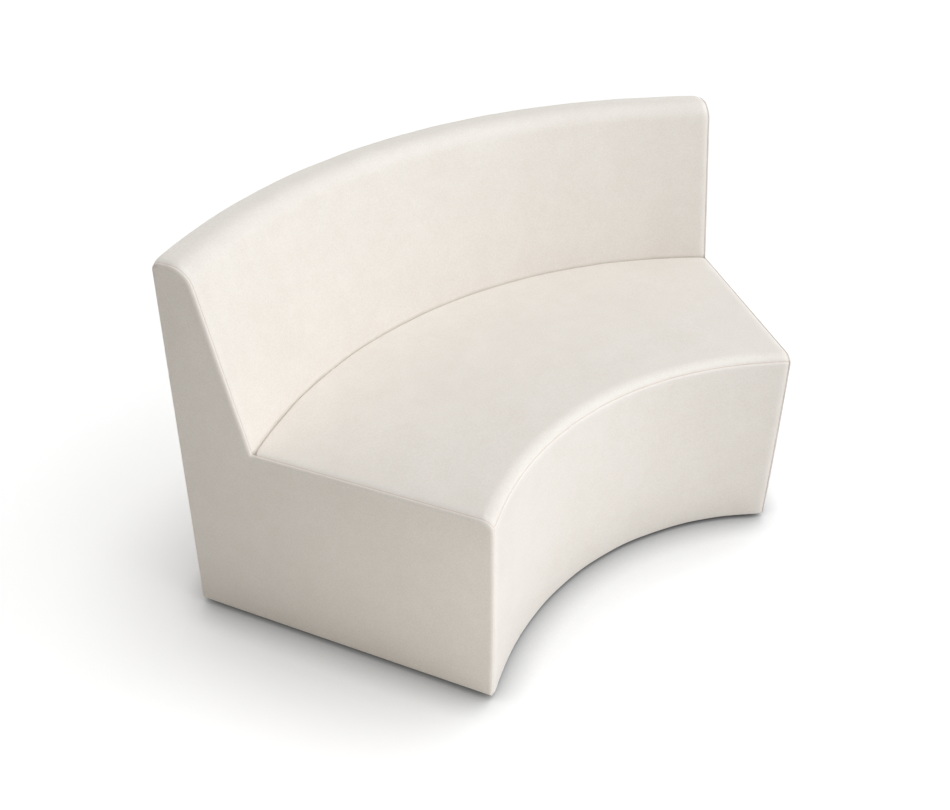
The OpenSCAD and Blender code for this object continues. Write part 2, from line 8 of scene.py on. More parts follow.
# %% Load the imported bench
import math
import bpy
import numpy as np
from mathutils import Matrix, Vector


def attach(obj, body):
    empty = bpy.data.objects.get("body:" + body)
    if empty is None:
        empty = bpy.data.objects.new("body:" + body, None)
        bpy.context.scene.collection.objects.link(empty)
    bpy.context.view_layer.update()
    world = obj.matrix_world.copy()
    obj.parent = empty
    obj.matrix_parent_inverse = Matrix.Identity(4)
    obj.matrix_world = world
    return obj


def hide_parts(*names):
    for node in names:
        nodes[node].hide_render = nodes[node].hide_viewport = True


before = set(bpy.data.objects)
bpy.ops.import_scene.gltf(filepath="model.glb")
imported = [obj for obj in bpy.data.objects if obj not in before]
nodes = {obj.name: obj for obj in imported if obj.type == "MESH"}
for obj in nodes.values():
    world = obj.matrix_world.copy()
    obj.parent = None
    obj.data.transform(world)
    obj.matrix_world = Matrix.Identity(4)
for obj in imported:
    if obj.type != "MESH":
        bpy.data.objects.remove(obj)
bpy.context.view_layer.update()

# %% [markdown]
# ## Camera
# A camera is a position, a direction and a focal length. Here it stands on a sphere round the
# bench: the azimuth walks round it, the elevation climbs over it. The lens shift moves the picture
# without turning the camera, as the photographer's cropping did.

# %% Camera
AZIMUTH, ELEVATION, DISTANCE = -39.24, 30.79, 2.2953
TARGET = Vector((-0.0167, 0.1111, 0.4403))
LENS_MM, SENSOR_MM, SHIFT_X, SHIFT_Y = 38.51, 36.0, -0.0046, -0.0816


def back_vector(azimuth, elevation):
    """Unit vector from the target to the camera: (sin a cos e, -cos a cos e, sin e)."""
    a, e = math.radians(azimuth), math.radians(elevation)
    return Vector((math.sin(a) * math.cos(e), -math.cos(a) * math.cos(e), math.sin(e)))


eye = bpy.data.cameras.new("photo_camera")
camera = bpy.data.objects.new("photo_camera", eye)
bpy.context.scene.collection.objects.link(camera)
back = back_vector(AZIMUTH, ELEVATION)
camera.location = TARGET + DISTANCE * back
camera.rotation_euler = back.to_track_quat("Z", "Y").to_euler()
eye.sensor_width, eye.lens = SENSOR_MM, LENS_MM
eye.shift_x, eye.shift_y = SHIFT_X, SHIFT_Y
bpy.context.scene.camera = camera
print("camera at", [round(v, 3) for v in camera.location])

# %% [markdown]
# ## Meshes from grids
# Nearly every soft piece here is a surface of two parameters: one runs along the bench, the other
# along a section of it. numpy works out all points at once as an array, and one helper turns a
# grid of points into quads. A solid one is a tube: its rows are closed rings, and a cap shuts the
# first and the last ring.

# %% Grid to mesh
def grid_quads(rows, columns, wrap=False):
    """Corner numbers of the quads of a grid of points: (i, j), (i, j+1), (i+1, j+1), (i+1, j).

    With wrap, the last column joins the first one."""
    i = np.arange(rows - 1)[:, None] * columns
    j = np.arange(columns if wrap else columns - 1)[None, :]
    jj = (j + 1) % columns
    quads = np.stack([i + j, i + jj, i + columns + jj, i + columns + j], -1)
    return quads.reshape(-1, 4)


def tube_faces(rows, columns):
    """Quads of a tube of `rows` rings, and its two caps, which run the other way round than the
    rings' edges beside them, so that all faces look to the same side."""
    ring = np.arange(columns)
    return grid_quads(rows, columns, wrap=True), [ring[::-1], ring + (rows - 1) * columns]


def signed_volume(points, quads, caps):
    """Volume inside closed faces, negative where they point inwards: a sixth of the sum of
    a . (b x c) over the triangles that fan out from each face's first corner."""
    fans = [quads[:, [0, 1, 2]], quads[:, [0, 2, 3]]]
    fans += [np.stack([np.full(len(cap) - 2, cap[0]), cap[1:-1], cap[2:]], -1) for cap in caps]
    a, b, c = np.moveaxis(points[np.concatenate(fans)], 1, 0)
    return float((a * np.cross(b, c)).sum() / 6)


def turned_outwards(points, quads, caps):
    """The faces, all turned over where they enclose less than nothing."""
    if signed_volume(points, quads, caps) < 0:
        return quads[:, ::-1], [cap[::-1] for cap in caps]
    return quads, caps


def mesh_piece(name, points, quads, caps=(), smooth_deg=40.0, closed=True):
    """A piece at the origin from points (n, 3), quads (k, 4) and caps, each a ring of corners.

    A closed piece is turned outwards. It is shaded smooth, except across edges sharper than
    smooth_deg."""
    if closed:
        quads, caps = turned_outwards(points, quads, caps)
    mesh = bpy.data.meshes.new(name)
    points = np.ascontiguousarray(points, dtype=np.float32)
    corners = np.concatenate([quads.ravel(), *caps]).astype(np.int32)
    sizes = np.concatenate([np.full(len(quads), 4), [len(c) for c in caps]]).astype(np.int32)
    mesh.vertices.add(len(points))
    mesh.vertices.foreach_set("co", points.ravel())
    mesh.loops.add(len(corners))
    mesh.loops.foreach_set("vertex_index", corners)
    mesh.polygons.add(len(sizes))
    mesh.polygons.foreach_set("loop_start", (np.cumsum(sizes) - sizes).astype(np.int32))
    mesh.update(calc_edges=True)
    mesh.validate()
    mesh.polygons.foreach_set("use_smooth", np.ones(len(mesh.polygons), dtype=bool))
    mesh.set_sharp_from_angle(angle=math.radians(smooth_deg))
    piece = bpy.data.objects.new(name, mesh)
    bpy.context.scene.collection.objects.link(piece)
    print(name, len(mesh.vertices), "points,", len(mesh.polygons), "faces")
    return piece


def point_value(piece, name, values):
    """Stores one number at each point, which a finish can read by its name."""
    layer = piece.data.attributes.new(name, "FLOAT", "POINT")
    layer.data.foreach_set("value", np.ascontiguousarray(values, dtype=np.float32).ravel())

# %% [markdown]
# ## Shader maths as Python
# A finish is a small program of nodes. Writing `height * 0.4 + grain` is easier to read than a list
# of nodes and links, so one class wraps a socket and turns each operator into its Math node.
# Colours go through a Mix node instead, because a Math node would turn them grey. A second class
# holds a tree of nodes and adds one to it. Both the world and every finish are such trees.

# %% Signals and graphs
class Signal:
    """A node's output. Arithmetic on it adds Math nodes to the same graph."""

    def __init__(self, graph, socket):
        self.graph, self.socket = graph, socket

    def math(self, operation, *others):
        return self.graph.node("ShaderNodeMath", {"operation": operation},
                               dict(enumerate((self, *others))))

    def __add__(self, other):
        return self.math("ADD", other)

    def __sub__(self, other):
        return self.math("SUBTRACT", other)

    def __mul__(self, other):
        return self.math("MULTIPLY", other)

    def __rsub__(self, other):
        return self.math("MULTIPLY_ADD", -1.0, other)

    __radd__, __rmul__ = __add__, __mul__

    def step(self, low, high):
        """0 below low, 1 above high, and a smooth ramp between them."""
        return self.graph.node("ShaderNodeMapRange", {"interpolation_type": "SMOOTHSTEP"},
                               {"Value": self, "From Min": low, "From Max": high})


class Graph:
    """A tree of shader nodes, and the one method that adds any other node to it."""

    def __init__(self, tree):
        self.tree = tree

    def node(self, kind, settings=None, inputs=None, out=0):
        """Adds a node: its settings first, then its inputs, each a number or a Signal."""
        node = self.tree.nodes.new(kind)
        for key, value in (settings or {}).items():
            setattr(node, key, value)
        for key, value in (inputs or {}).items():
            if isinstance(value, Signal):
                self.tree.links.new(value.socket, node.inputs[key])
            else:
                node.inputs[key].default_value = value
        return Signal(self, node.outputs[out])

    def axis(self, where, name):
        """The x, y or z of a vector."""
        return self.node("ShaderNodeSeparateXYZ", None, {0: where}, "XYZ".index(name))

    def blend(self, factor, first, second):
        """Mixes two colours, each three numbers or a Signal."""
        pair = [c if isinstance(c, Signal) else (*c, 1.0) for c in (first, second)]
        return self.node("ShaderNodeMix", {"data_type": "RGBA"},
                         {0: factor, 6: pair[0], 7: pair[1]}, 2)


print("graph helpers ready")

# %% [markdown]
# ## What a finish can do
# A finish is one material with one Principled shader. Its constants are set on the shader's own
# sockets, and only what varies over the surface is fed by nodes. Patterns are read from Object
# coordinates, so they stay on the piece when it moves.

# %% Finish
class Finish(Graph):
    """A material for one slot of the record."""

    def __init__(self, name, slot, **constants):
        self.slot = slot
        self.material = bpy.data.materials.new(name)
        self.material.use_nodes = True
        super().__init__(self.material.node_tree)
        self.shader = self.tree.nodes["Principled BSDF"]
        for key, value in constants.items():
            socket = key.replace("_", " ").title().replace("Ior", "IOR")
            self.shader.inputs[socket].default_value = value

    def place(self, turn_deg=0.0, stretch=(1.0, 1.0, 1.0)):
        """Object coordinates, turned about Z and stretched by a Mapping node."""
        where = self.node("ShaderNodeTexCoord", out=3)
        return self.node("ShaderNodeMapping", {"vector_type": "POINT"},
                         {"Vector": where, "Rotation": (0.0, 0.0, math.radians(turn_deg)),
                          "Scale": stretch})

    def noise(self, where, scale, detail=2.0, rough=0.5, warp=0.0):
        """Cloudy noise from 0 to 1, with `scale` clouds to the metre."""
        return self.node("ShaderNodeTexNoise", None,
                         {"Vector": where, "Scale": scale, "Detail": detail,
                          "Roughness": rough, "Distortion": warp})

    def pebbles(self, where, scale, feature="F1"):
        """Distance to the nearest of many scattered points: F1 is creased, SMOOTH_F1 is round."""
        return self.node("ShaderNodeTexVoronoi", {"feature": feature},
                         {"Vector": where, "Scale": scale})

    def value(self, name):
        """A number stored on the piece's points."""
        return self.node("ShaderNodeAttribute", {"attribute_name": name}, out=2)

    def feed(self, **signals):
        """Links signals to the shader's sockets, such as base_color or normal."""
        for key, signal in signals.items():
            self.tree.links.new(signal.socket, self.shader.inputs[key.replace("_", " ").title()])

    def bump(self, height, reach, before=None):
        """Bump from a height signal from 0 to 1, where reach is the relief in metres."""
        inputs = {"Height": height, "Distance": reach, "Strength": 1.0}
        if before is not None:
            inputs["Normal"] = before
        return self.node("ShaderNodeBump", None, inputs)


def dress(piece, finish, replaces=(), body="bench"):
    """Gives a new piece its finish, its body and the CAD nodes it stands for."""
    piece.data.materials.append(finish.material)
    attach(piece, body)
    if replaces:
        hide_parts(*replaces)


print("finish helpers ready")

# %% [markdown]
# ## Floor
# The photograph is a product shot: white paper all round, and a soft contact shadow. The floor is a
# plain pale plane with a faint glow that only the camera and reflections see, which makes it as
# white as the background. Ambient occlusion darkens both: over a wide distance for the broad shade
# beside the bench, and over a short one for the gap under its edge.

# %% Floor
FLOOR_HALF = 14.0
WIDE_SHADE, NEAR_SHADE, SHADE_POWER = 0.35, 0.07, 0.6
PAPER, GLOW = (0.84, 0.84, 0.84), (0.42, 0.42, 0.42)
BLACK = (0.0, 0.0, 0.0)


def open_to_sky(finish, reach):
    """Share of the sky within `reach` that nothing covers, softened by a power below 1."""
    share = finish.node("ShaderNodeAmbientOcclusion", {"samples": 12}, {"Distance": reach}, 1)
    return share.math("POWER", SHADE_POWER)


floor_line = [-FLOOR_HALF, FLOOR_HALF]
floor_x, floor_y = np.meshgrid(floor_line, floor_line, indexing="ij")
floor_points = np.stack([floor_x, floor_y, 0 * floor_x], -1).reshape(-1, 3)
floor = mesh_piece("studio_floor", floor_points, grid_quads(2, 2)[:, ::-1], closed=False)
paper = Finish("studio_paper", "", roughness=0.9, specular_ior_level=0.1, emission_strength=1.0)
seen_or_mirrored = paper.node("ShaderNodeLightPath") + paper.node("ShaderNodeLightPath", out=3)
open_sky = open_to_sky(paper, WIDE_SHADE) * open_to_sky(paper, NEAR_SHADE)
paper.feed(base_color=paper.blend(open_sky, BLACK, PAPER),
           emission_color=paper.blend(seen_or_mirrored * open_sky, BLACK, GLOW))
floor.data.materials.append(paper.material)

# %% [markdown]
# ## World
# The studio's air lights the bench from everywhere, more from the right than from the left. The
# camera and reflections see plain white instead, so a mix chooses by the kind of ray.

# %% World
DIM_SIDE, BRIGHT_SIDE, AIR_STRENGTH = (0.18, 0.148, 0.10), (1.0, 0.99, 0.975), 0.56

world = bpy.data.worlds.new("studio_world")
bpy.context.scene.world = world
world.use_nodes = True
air = Graph(world.node_tree)
air.tree.nodes.remove(air.tree.nodes["Background"])
to_right = air.node("ShaderNodeMapRange", None,
                    {"Value": air.axis(air.node("ShaderNodeTexCoord"), "X"),
                     "From Min": -1.0, "From Max": 1.0})
light = air.node("ShaderNodeBackground", None,
                 {"Color": air.blend(to_right, DIM_SIDE, BRIGHT_SIDE), "Strength": AIR_STRENGTH})
white = air.node("ShaderNodeBackground", None, {"Color": (1.0,) * 4, "Strength": 1.0})
directly = air.node("ShaderNodeLightPath").math("MAXIMUM", air.node("ShaderNodeLightPath", out=3))
shown = air.node("ShaderNodeMixShader", None, {0: directly, 1: light, 2: white})
air.tree.links.new(shown.socket, air.tree.nodes["World Output"].inputs[0])
print("world of", len(air.tree.nodes), "nodes")

# %% [markdown]
# ## Lamps
# Real softboxes are wide, so their shadows have no edge. Suns as wide as a softbox looks give the
# main directions: a key from the right, its spill on the front, a low fill from the front and one
# from behind. Three square panels stand near the bench and lift the hollow front, the right end and
# the left end. The camera sees none of them.

# %% Lamps
COOL, WARM = (0.962, 1.0, 1.042), (1.0, 0.96, 0.90)


def hang(name, lamp, towards, place=(0.0, 0.0, 0.0)):
    """Puts a lamp at a place, where it shines against the vector `towards`."""
    holder = bpy.data.objects.new(name, lamp)
    holder.rotation_euler = towards.to_track_quat("Z", "Y").to_euler()
    holder.location = place
    holder.visible_camera = False
    bpy.context.scene.collection.objects.link(holder)
    print(name, round(lamp.energy, 2))


def soft_sun(name, azimuth, elevation, power, width_deg, tint, shadow=True):
    """A sun lamp that shines from back_vector(azimuth, elevation), as wide as a softbox looks."""
    lamp = bpy.data.lights.new(name, "SUN")
    lamp.energy, lamp.angle = power, math.radians(width_deg)
    lamp.use_shadow, lamp.color = shadow, tint
    hang(name, lamp, back_vector(azimuth, elevation))


def near_panel(name, place, target, power, side, tint):
    """A square area lamp that fills one side of the bench from nearby."""
    lamp = bpy.data.lights.new(name, "AREA")
    lamp.energy, lamp.size, lamp.color = power, side, tint
    hang(name, lamp, Vector(place) - Vector(target), place)


soft_sun("key_softbox", 66.0, 62.0, 0.89, 45.0, COOL)
soft_sun("key_spill", 28.0, 36.0, 0.69, 50.0, COOL, shadow=False)
soft_sun("front_softbox", 0.0, 10.0, 0.34, 80.0, WARM)
soft_sun("rear_softbox", 180.0, 4.0, 0.55, 60.0, COOL)
near_panel("bay_softbox", (0.2, -1.6, 0.7), (0.1, 0.2, 0.35), 2.8, 1.0, COOL)
near_panel("right_softbox", (0.55, -0.45, 1.5), (0.45, 0.1, 0.45), 1.8, 0.8, COOL)
near_panel("left_softbox", (-0.95, -0.85, 0.24), (-0.5, -0.05, 0.1), 0.92, 0.46, WARM)
bpy.context.scene.view_settings.view_transform = "Standard"

# %% [markdown]
# ## Sizes
# These are the sizes of the CAD model, in metres. Only the crease is rounded more tightly, as the
# stretched cover draws it in. The bench is laid out on two arcs: the concave front about one
# centre, and the back about another that lies further back.

# %% Sizes of the bench
FLOOR_GAP, SEAT_Z, TOP_Z = 0.010, 0.450, 0.822
FRONT_R, HALF_W, END_DEG = 0.682, 0.417, 28.0
OFFSET, SEAT_DEPTH, LEAN, TOP_FLAT, REAR_LEAN = 0.175, 0.516, 0.080, 0.0182, 0.025
TOP_ROLL, REAR_ROLL, HEM, CREASE = 0.050, 0.020, 0.006, 0.009
COVER, DECK_Z, TOP_FOAM = 0.0015, 0.3785, 0.025
END_FOAM, WADDING, MARGIN, FLAP = 0.012, 0.004, 0.075, 0.032
SEAT_CROWN, BACK_CROWN, FRONT_SWELL = 0.004, 0.003, 0.002
DECK_GAP, CREASE_GAP, CORNER_DRAW, CORNER_SWELL = 0.0006, 0.0003, 0.002, 0.005
WOOD_TOP = TOP_Z - COVER - TOP_FOAM
BACK_RISE = TOP_Z - SEAT_Z
CREASE_R = FRONT_R + SEAT_DEPTH - OFFSET
FACE_TILT = math.atan2(LEAN, BACK_RISE)
REAR_TILT = math.atan2(REAR_LEAN, TOP_Z - FLOOR_GAP)


def face_r(z):
    """Radius of the face of the back at height z: it leans out by LEAN from the seat to the top."""
    return CREASE_R + LEAN * (z - SEAT_Z) / BACK_RISE


FRONT_ROUND_R = face_r(TOP_Z - TOP_ROLL) + TOP_ROLL / math.cos(FACE_TILT)
REAR_ROUND_R = FRONT_ROUND_R + TOP_FLAT
REAR_R = (REAR_ROUND_R + REAR_ROLL / math.cos(REAR_TILT)
          + REAR_LEAN * (TOP_Z - REAR_ROLL - FLOOR_GAP) / (TOP_Z - FLOOR_GAP))


def rear_r(z):
    """Radius of the outside back at height z."""
    return REAR_R - REAR_LEAN * (z - FLOOR_GAP) / (TOP_Z - FLOOR_GAP)


END_ARC = math.asin(HALF_W / FRONT_R)
END = math.radians(END_DEG)
CORNER_DEPTH = math.sqrt(FRONT_R ** 2 - HALF_W ** 2)
CORNER_IN = CORNER_DRAW * math.cos(END) + CORNER_SWELL * math.sin(END)
FRONT_Y = -(CORNER_DEPTH + CORNER_IN + OFFSET + REAR_R) / 2
BACK_Y = FRONT_Y + OFFSET
print("centres at y =", round(FRONT_Y, 4), "and", round(BACK_Y, 4))

# %% [markdown]
# ## Stations
# A station is a line in plan that starts on the front arc and runs to the outside back. Between the
# ends the lines fan out evenly. Near an end they run parallel to the end panel, at a distance w
# from its plane, so the covers meet the panel along a straight seam.

# %% Stations
def end_angle_at(w):
    """Angle on the front arc of the line that lies w inside the end plane."""
    return END + np.arcsin(math.sin(END_ARC - END) - np.asarray(w) / FRONT_R)


def row_of_stations(edge_w, flat_w, middle):
    """Angles (a, g), distance w from the nearer end plane and crown share of a row of stations.

    The row starts at the left seam with the distances edge_w, fans out evenly over `middle`
    lines between the two lines at flat_w, and ends at the right seam."""
    t = np.linspace(-1.0, 1.0, middle)
    a = np.concatenate([-end_angle_at(edge_w), t * end_angle_at(flat_w),
                        end_angle_at(edge_w[::-1])])
    g = np.concatenate([-END + 0 * edge_w, t * END, END + 0 * edge_w])
    w = np.concatenate([edge_w, flat_w + (1 - np.abs(t)) * FRONT_R * END_ARC, edge_w[::-1]])
    crown = np.concatenate([0 * edge_w, 1 - t ** 4, 0 * edge_w])
    return {"a": a, "g": g, "w": w, "crown": crown}


def starts(row):
    """Where the stations' lines start, on the front arc."""
    return FRONT_R * np.sin(row["a"]), FRONT_Y + FRONT_R * np.cos(row["a"])


def depth_at(row, r):
    """How far along each station's line its distance to the centre of the back is r: the root of
    |start + s * direction| = r, from b = start . direction."""
    px, py = starts(row)
    py = py - BACK_Y
    b = px * np.sin(row["g"]) + py * np.cos(row["g"])
    if np.ndim(r):
        px, py, b = px[:, None], py[:, None], b[:, None]
    return np.sqrt(b * b + r ** 2 - px * px - py * py) - b


def placed(row, s, z):
    """Points (n, m, 3) of the sections s (depth) and z (height), both (n, m)."""
    px, py = starts(row)
    x = px[:, None] + s * np.sin(row["g"])[:, None]
    y = py[:, None] + s * np.cos(row["g"])[:, None]
    return np.stack([x, y, z + 0 * s], -1)


def set_in(s, z, d):
    """Moves each point of the lines (n, m) by d to the right of the line's direction."""
    ds, dz = np.gradient(s, axis=1), np.gradient(z, axis=1)
    size = np.hypot(ds, dz) + 1e-12
    return s + d * dz / size, z - d * ds / size


def swell(x):
    """A shallow arch over 0 to 1, 1 in its middle."""
    return 4 * x * (1 - x)


print("end planes turned", END_DEG, "deg, front arc", round(math.degrees(END_ARC), 2), "each way")

# %% [markdown]
# ## Seams
# A seam pulls the leatherette into a fine groove with softly rounded lips. Close to it the cover
# puckers a little, because the stitches gather it. Both are written as a depth that depends on the
# distance to the seam, so the same function serves every cover. The unevenness of hand-stretched
# foam is a sum of a few slow waves with seeded phases.

# %% Seam and unevenness functions
MIDDLE = 181
SEAM_W, SEAM_GAP, FLAT_W, LIP = 0.0068, 0.0003, 0.030, 0.0027
dice = np.random.default_rng(7)


def tuck(d):
    """Depth of a seam's groove at distance d: a wide soft lip and a narrow sharp groove."""
    return 0.0008 * np.exp(-(d / 0.0034) ** 2) + 0.0006 * np.exp(-d / 0.0007)


def edge_roll(d):
    """How far a cover's side falls away towards the end seam, at distance d from it."""
    return LIP * np.exp(-(np.maximum(d, 0) / 0.0080) ** 1.5)


def waves(u, v, size, wave, count=14):
    """Unevenness of about `size`: a sum of `count` plane waves in random directions, each about
    `wave` long."""
    turn, phase = dice.uniform(0, math.tau, (2, count))
    long = wave * dice.uniform(0.7, 1.6, count)
    total = np.zeros(np.broadcast(u, v).shape)
    for angle, shift, length in zip(turn, phase, long):
        total += np.sin(math.tau / length * (u * math.cos(angle) + v * math.sin(angle)) + shift)
    return size * total / math.sqrt(count)


def pucker(along, d, size=0.00022):
    """Small gathers beside a seam, which fade out about 12 mm away from it."""
    wave = np.sin(math.tau * along / 0.021 + 2.0 * np.sin(math.tau * along / 0.13))
    return size * wave * np.exp(-(d / 0.012) ** 1.5) * (1 - np.exp(-(d / 0.002) ** 2))


def free(d):
    """0 at a seam, where the stitches hold the cover, and 1 about 60 mm away from it."""
    return 1 - np.exp(-(d / 0.03) ** 2)


print("seam", round(1000 * tuck(0.0), 2), "mm deep,", round(1000 * SEAM_W, 1), "mm inside the end")

# %% [markdown]
# ## Stations of the covers
# The covers need a row of stations that crowds towards the end seams, where they roll down. A
# section line is either the same at every station, and is then spread over the row, or is worked
# out for each station as one array.

# %% Row of stations and lines on it
edge_phase = np.linspace(0, 1, 9) ** 1.6
EDGE_W = SEAM_W + (FLAT_W - SEAM_W) * edge_phase[:-1]
row = row_of_stations(EDGE_W, FLAT_W, MIDDLE)
from_end = row["w"][:, None] - SEAM_W


def arc(start_deg, end_deg, steps):
    """Even steps of an angle, in radians."""
    return np.radians(np.linspace(start_deg, end_deg, steps))


def spread(line, row):
    """A section line repeated for every station of a row."""
    return np.repeat(np.asarray(line)[None, :], len(row["a"]), 0)


def shares_by_length(s, z):
    """Length along each line from its first point, (n, m)."""
    step = np.hypot(np.diff(s, axis=1), np.diff(z, axis=1))
    return np.concatenate([np.zeros((len(s), 1)), np.cumsum(step, 1)], 1)


print("row of", len(row["a"]), "stations")

# %% [markdown]
# ## Cover of the seat
# The seat's panel rolls over the front edge down to the seam, runs back with a slight crown and
# dives into the crease, where it is pulled tight to the deck. The roll is deeper than it is high,
# because the foam's cut edge gives way there. Each section is one polyline, and all stations are
# worked out as a single array.

# %% Line of the seat
ROLL_DEPTH, ROLL_DROP, SEAM_ANGLE, ROLL_STEPS = 0.030, 0.022, 68.0, 22
SEAM_HALF, DIVE_DROP = 0.0001, 0.010


def roll_line(angles):
    """Points on the quarter ellipse of the front roll, at angles from the seat's top, as depths
    and heights: (D (1 - sin a), seat - H (1 - cos a))."""
    return ROLL_DEPTH * (1 - np.sin(angles)), SEAT_Z - ROLL_DROP * (1 - np.cos(angles))


def seat_section(row, steps=70):
    """Depth and height of the seat's outer line at every station."""
    half_gap = math.degrees(SEAM_HALF / ROLL_DROP)
    roll_s, roll_z = roll_line(arc(SEAM_ANGLE - half_gap, 0, ROLL_STEPS))
    rear = depth_at(row, CREASE_R) - CREASE_GAP
    flat_end = rear - CREASE
    x = np.linspace(0, 1, steps)[None, 1:]
    top_s = ROLL_DEPTH + x * (flat_end[:, None] - ROLL_DEPTH)
    top_z = SEAT_Z + SEAT_CROWN * row["crown"][:, None] * swell(x)
    turn = arc(0, 90, 10)[None, 1:]
    dive_s = flat_end[:, None] + CREASE * np.sin(turn)
    dive_z = SEAT_Z - CREASE * (1 - np.cos(turn)) + 0 * dive_s
    low_s = np.repeat(rear[:, None], 5, 1)
    low_z = spread(np.linspace(SEAT_Z - CREASE - DIVE_DROP, DECK_Z + DECK_GAP, 5), row)
    s = np.concatenate([spread(roll_s, row), top_s, dive_s, low_s], 1)
    z = np.concatenate([spread(roll_z, row), top_z, dive_z, low_z], 1)
    return s, z


seat_s, seat_z = seat_section(row)
print("seat line of", seat_s.shape[1], "points, from", round(seat_z.max(), 4), "m down to the deck")

# %% [markdown]
# ## From lines to a sewn cover
# Leatherette is a sheet about 1.5 mm thick. Each curved cover is a closed thin solid: its outer
# side is the section line at every station, pulled in at the seams, and its inner side lies one
# thickness further in. Every point also stores its distance to the nearest seam, for the finish.

# %% Sewn covers
def thin_solid(outer, inner):
    """Points and quads that close the space between an outer and an inner grid, both (n, m, 3)."""
    n, m = outer.shape[:2]
    ring = np.concatenate([outer, inner[:, ::-1]], 1)
    quads = grid_quads(n, 2 * m, wrap=True)
    i = np.arange(m - 1)
    cap = np.stack([i, i + 1, 2 * m - 2 - i, 2 * m - 1 - i], -1)
    quads = np.concatenate([quads, cap[:, ::-1], cap + (n - 1) * 2 * m])
    return ring.reshape(-1, 3), quads, ()


def grid_area(points):
    """Area of a grid of points: half the cross product of the diagonals of every quad."""
    one, two = points[1:, 1:] - points[:-1, :-1], points[1:, :-1] - points[:-1, 1:]
    return float(np.linalg.norm(np.cross(one, two), axis=-1).sum() / 2)


def sewn_cover(name, s, z, from_seam, uneven, wave):
    """A cover along the lines (s, z), and its outer grid of points.

    It is pulled in by the tuck of its own seam and of the end seams, puckers beside them, and
    elsewhere lies unevenly by a few tenths of a millimetre."""
    along, length = row["a"][:, None] * (FRONT_R + s), shares_by_length(s, z)
    nearest = np.minimum(from_seam, from_end)
    pull = tuck(from_seam) + tuck(from_end) + edge_roll(from_end)
    gather = pucker(along, from_seam) + pucker(length, from_end)
    pull = pull + gather + waves(along, length, uneven, wave) * free(nearest)
    outer = placed(row, *set_in(s, z, pull))
    inner = placed(row, *set_in(s, z, pull + COVER))
    piece = mesh_piece(name, *thin_solid(outer, inner))
    point_value(piece, "seam", np.concatenate([nearest, nearest[:, ::-1]], 1))
    return piece, outer


seat_cover, seat_outer = sewn_cover("seat_cover_sewn", seat_s, seat_z,
                                    shares_by_length(seat_s, seat_z), 0.0004, 0.16)

# %% [markdown]
# ## Cover of the front
# The front panel starts under the bottom board, turns round the hem and climbs with a slight swell
# to the seam on the roll-over.

# %% Front cover
def front_section(row, steps=44):
    """Depth and height of the front's outer line, from the hem under the board to the seam."""
    flap_s = np.linspace(FLAP, HEM, 5)[:-1]
    turn = arc(0, 90, 9)
    hem_s, hem_z = HEM * (1 - np.sin(turn)), FLOOR_GAP + HEM * (1 - np.cos(turn))
    x = np.linspace(0, 1, steps)[1:-1]
    low, high = FLOOR_GAP + HEM, SEAT_Z - ROLL_DROP
    half_gap = math.degrees(SEAM_HALF / ROLL_DROP)
    roll_s, roll_z = roll_line(arc(90, SEAM_ANGLE + half_gap, 12))
    s = np.concatenate([flap_s, hem_s, -FRONT_SWELL * swell(x), roll_s])
    z = np.concatenate([0 * flap_s + FLOOR_GAP, hem_z, low + x * (high - low), roll_z])
    return spread(s, row), spread(z, row)


front_s, front_z = front_section(row)
front_length = shares_by_length(front_s, front_z)
front_cover, front_outer = sewn_cover("front_cover_sewn", front_s, front_z,
                                      front_length[:, -1:] - front_length, 0.0004, 0.14)

# %% [markdown]
# ## Cover of the inside back
# The leaning face rises from the crease, rolls widely over the top and tightly down to the rear
# seam. Its section is given as radii about the centre of the back, so at an end station the same
# radii lie at other depths.

# %% Inside-back cover
REAR_SEAM_Z, LAST_STEPS = WOOD_TOP - 0.005, 7


def back_radii(rear_end_z, steps=44):
    """Radius, height and crown of the back's line, from the crease over the top and down to
    rear_end_z on the outside. The last stretch down has LAST_STEPS points."""
    low = SEAT_Z + CREASE / 2
    high = TOP_Z - TOP_ROLL * (1 - math.sin(FACE_TILT))
    x = np.linspace(0, 1, steps)
    face_z = low + x * (high - low)
    turn = arc(180 - math.degrees(FACE_TILT), 90, 20)[1:]
    rise_r = FRONT_ROUND_R + TOP_ROLL * np.cos(turn)
    rise_z = TOP_Z - TOP_ROLL * (1 - np.sin(turn))
    flat_r = np.linspace(FRONT_ROUND_R, REAR_ROUND_R, 4)[1:-1]
    fall = arc(90, math.degrees(REAR_TILT), 12)
    fall_r = REAR_ROUND_R + REAR_ROLL * np.cos(fall)
    fall_z = TOP_Z - REAR_ROLL * (1 - np.sin(fall))
    last_z = np.linspace(fall_z[-1], rear_end_z, LAST_STEPS + 1)[1:]
    r = np.concatenate([face_r(face_z), rise_r, flat_r, fall_r, rear_r(last_z)])
    z = np.concatenate([face_z, rise_z, 0 * flat_r + TOP_Z, fall_z, last_z])
    out = np.zeros(len(r))
    out[:steps] = -BACK_CROWN * swell(x)
    return r, z, out


def back_section(row):
    """Depth and height of the whole line of the inside back, from the deck to the rear seam."""
    r, z, out = back_radii(REAR_SEAM_Z + SEAM_HALF)
    low_z = np.concatenate([np.linspace(DECK_Z + DECK_GAP, SEAT_Z - CREASE, 5),
                            np.linspace(SEAT_Z - CREASE, SEAT_Z + CREASE / 2, 6)[1:-1]])
    low_r = np.full(len(low_z), CREASE_R + CREASE_GAP)
    s = depth_at(row, spread(np.concatenate([low_r, r]), row))
    z = spread(np.concatenate([low_z, z]), row)
    return set_in(s, z, np.concatenate([0 * low_r, out])[None, :] * row["crown"][:, None])


back_s, back_z = back_section(row)
back_length = shares_by_length(back_s, back_z)
back_cover, back_outer = sewn_cover("inside_back_cover_sewn", back_s, back_z,
                                    back_length[:, -1:] - back_length, 0.0005, 0.18)

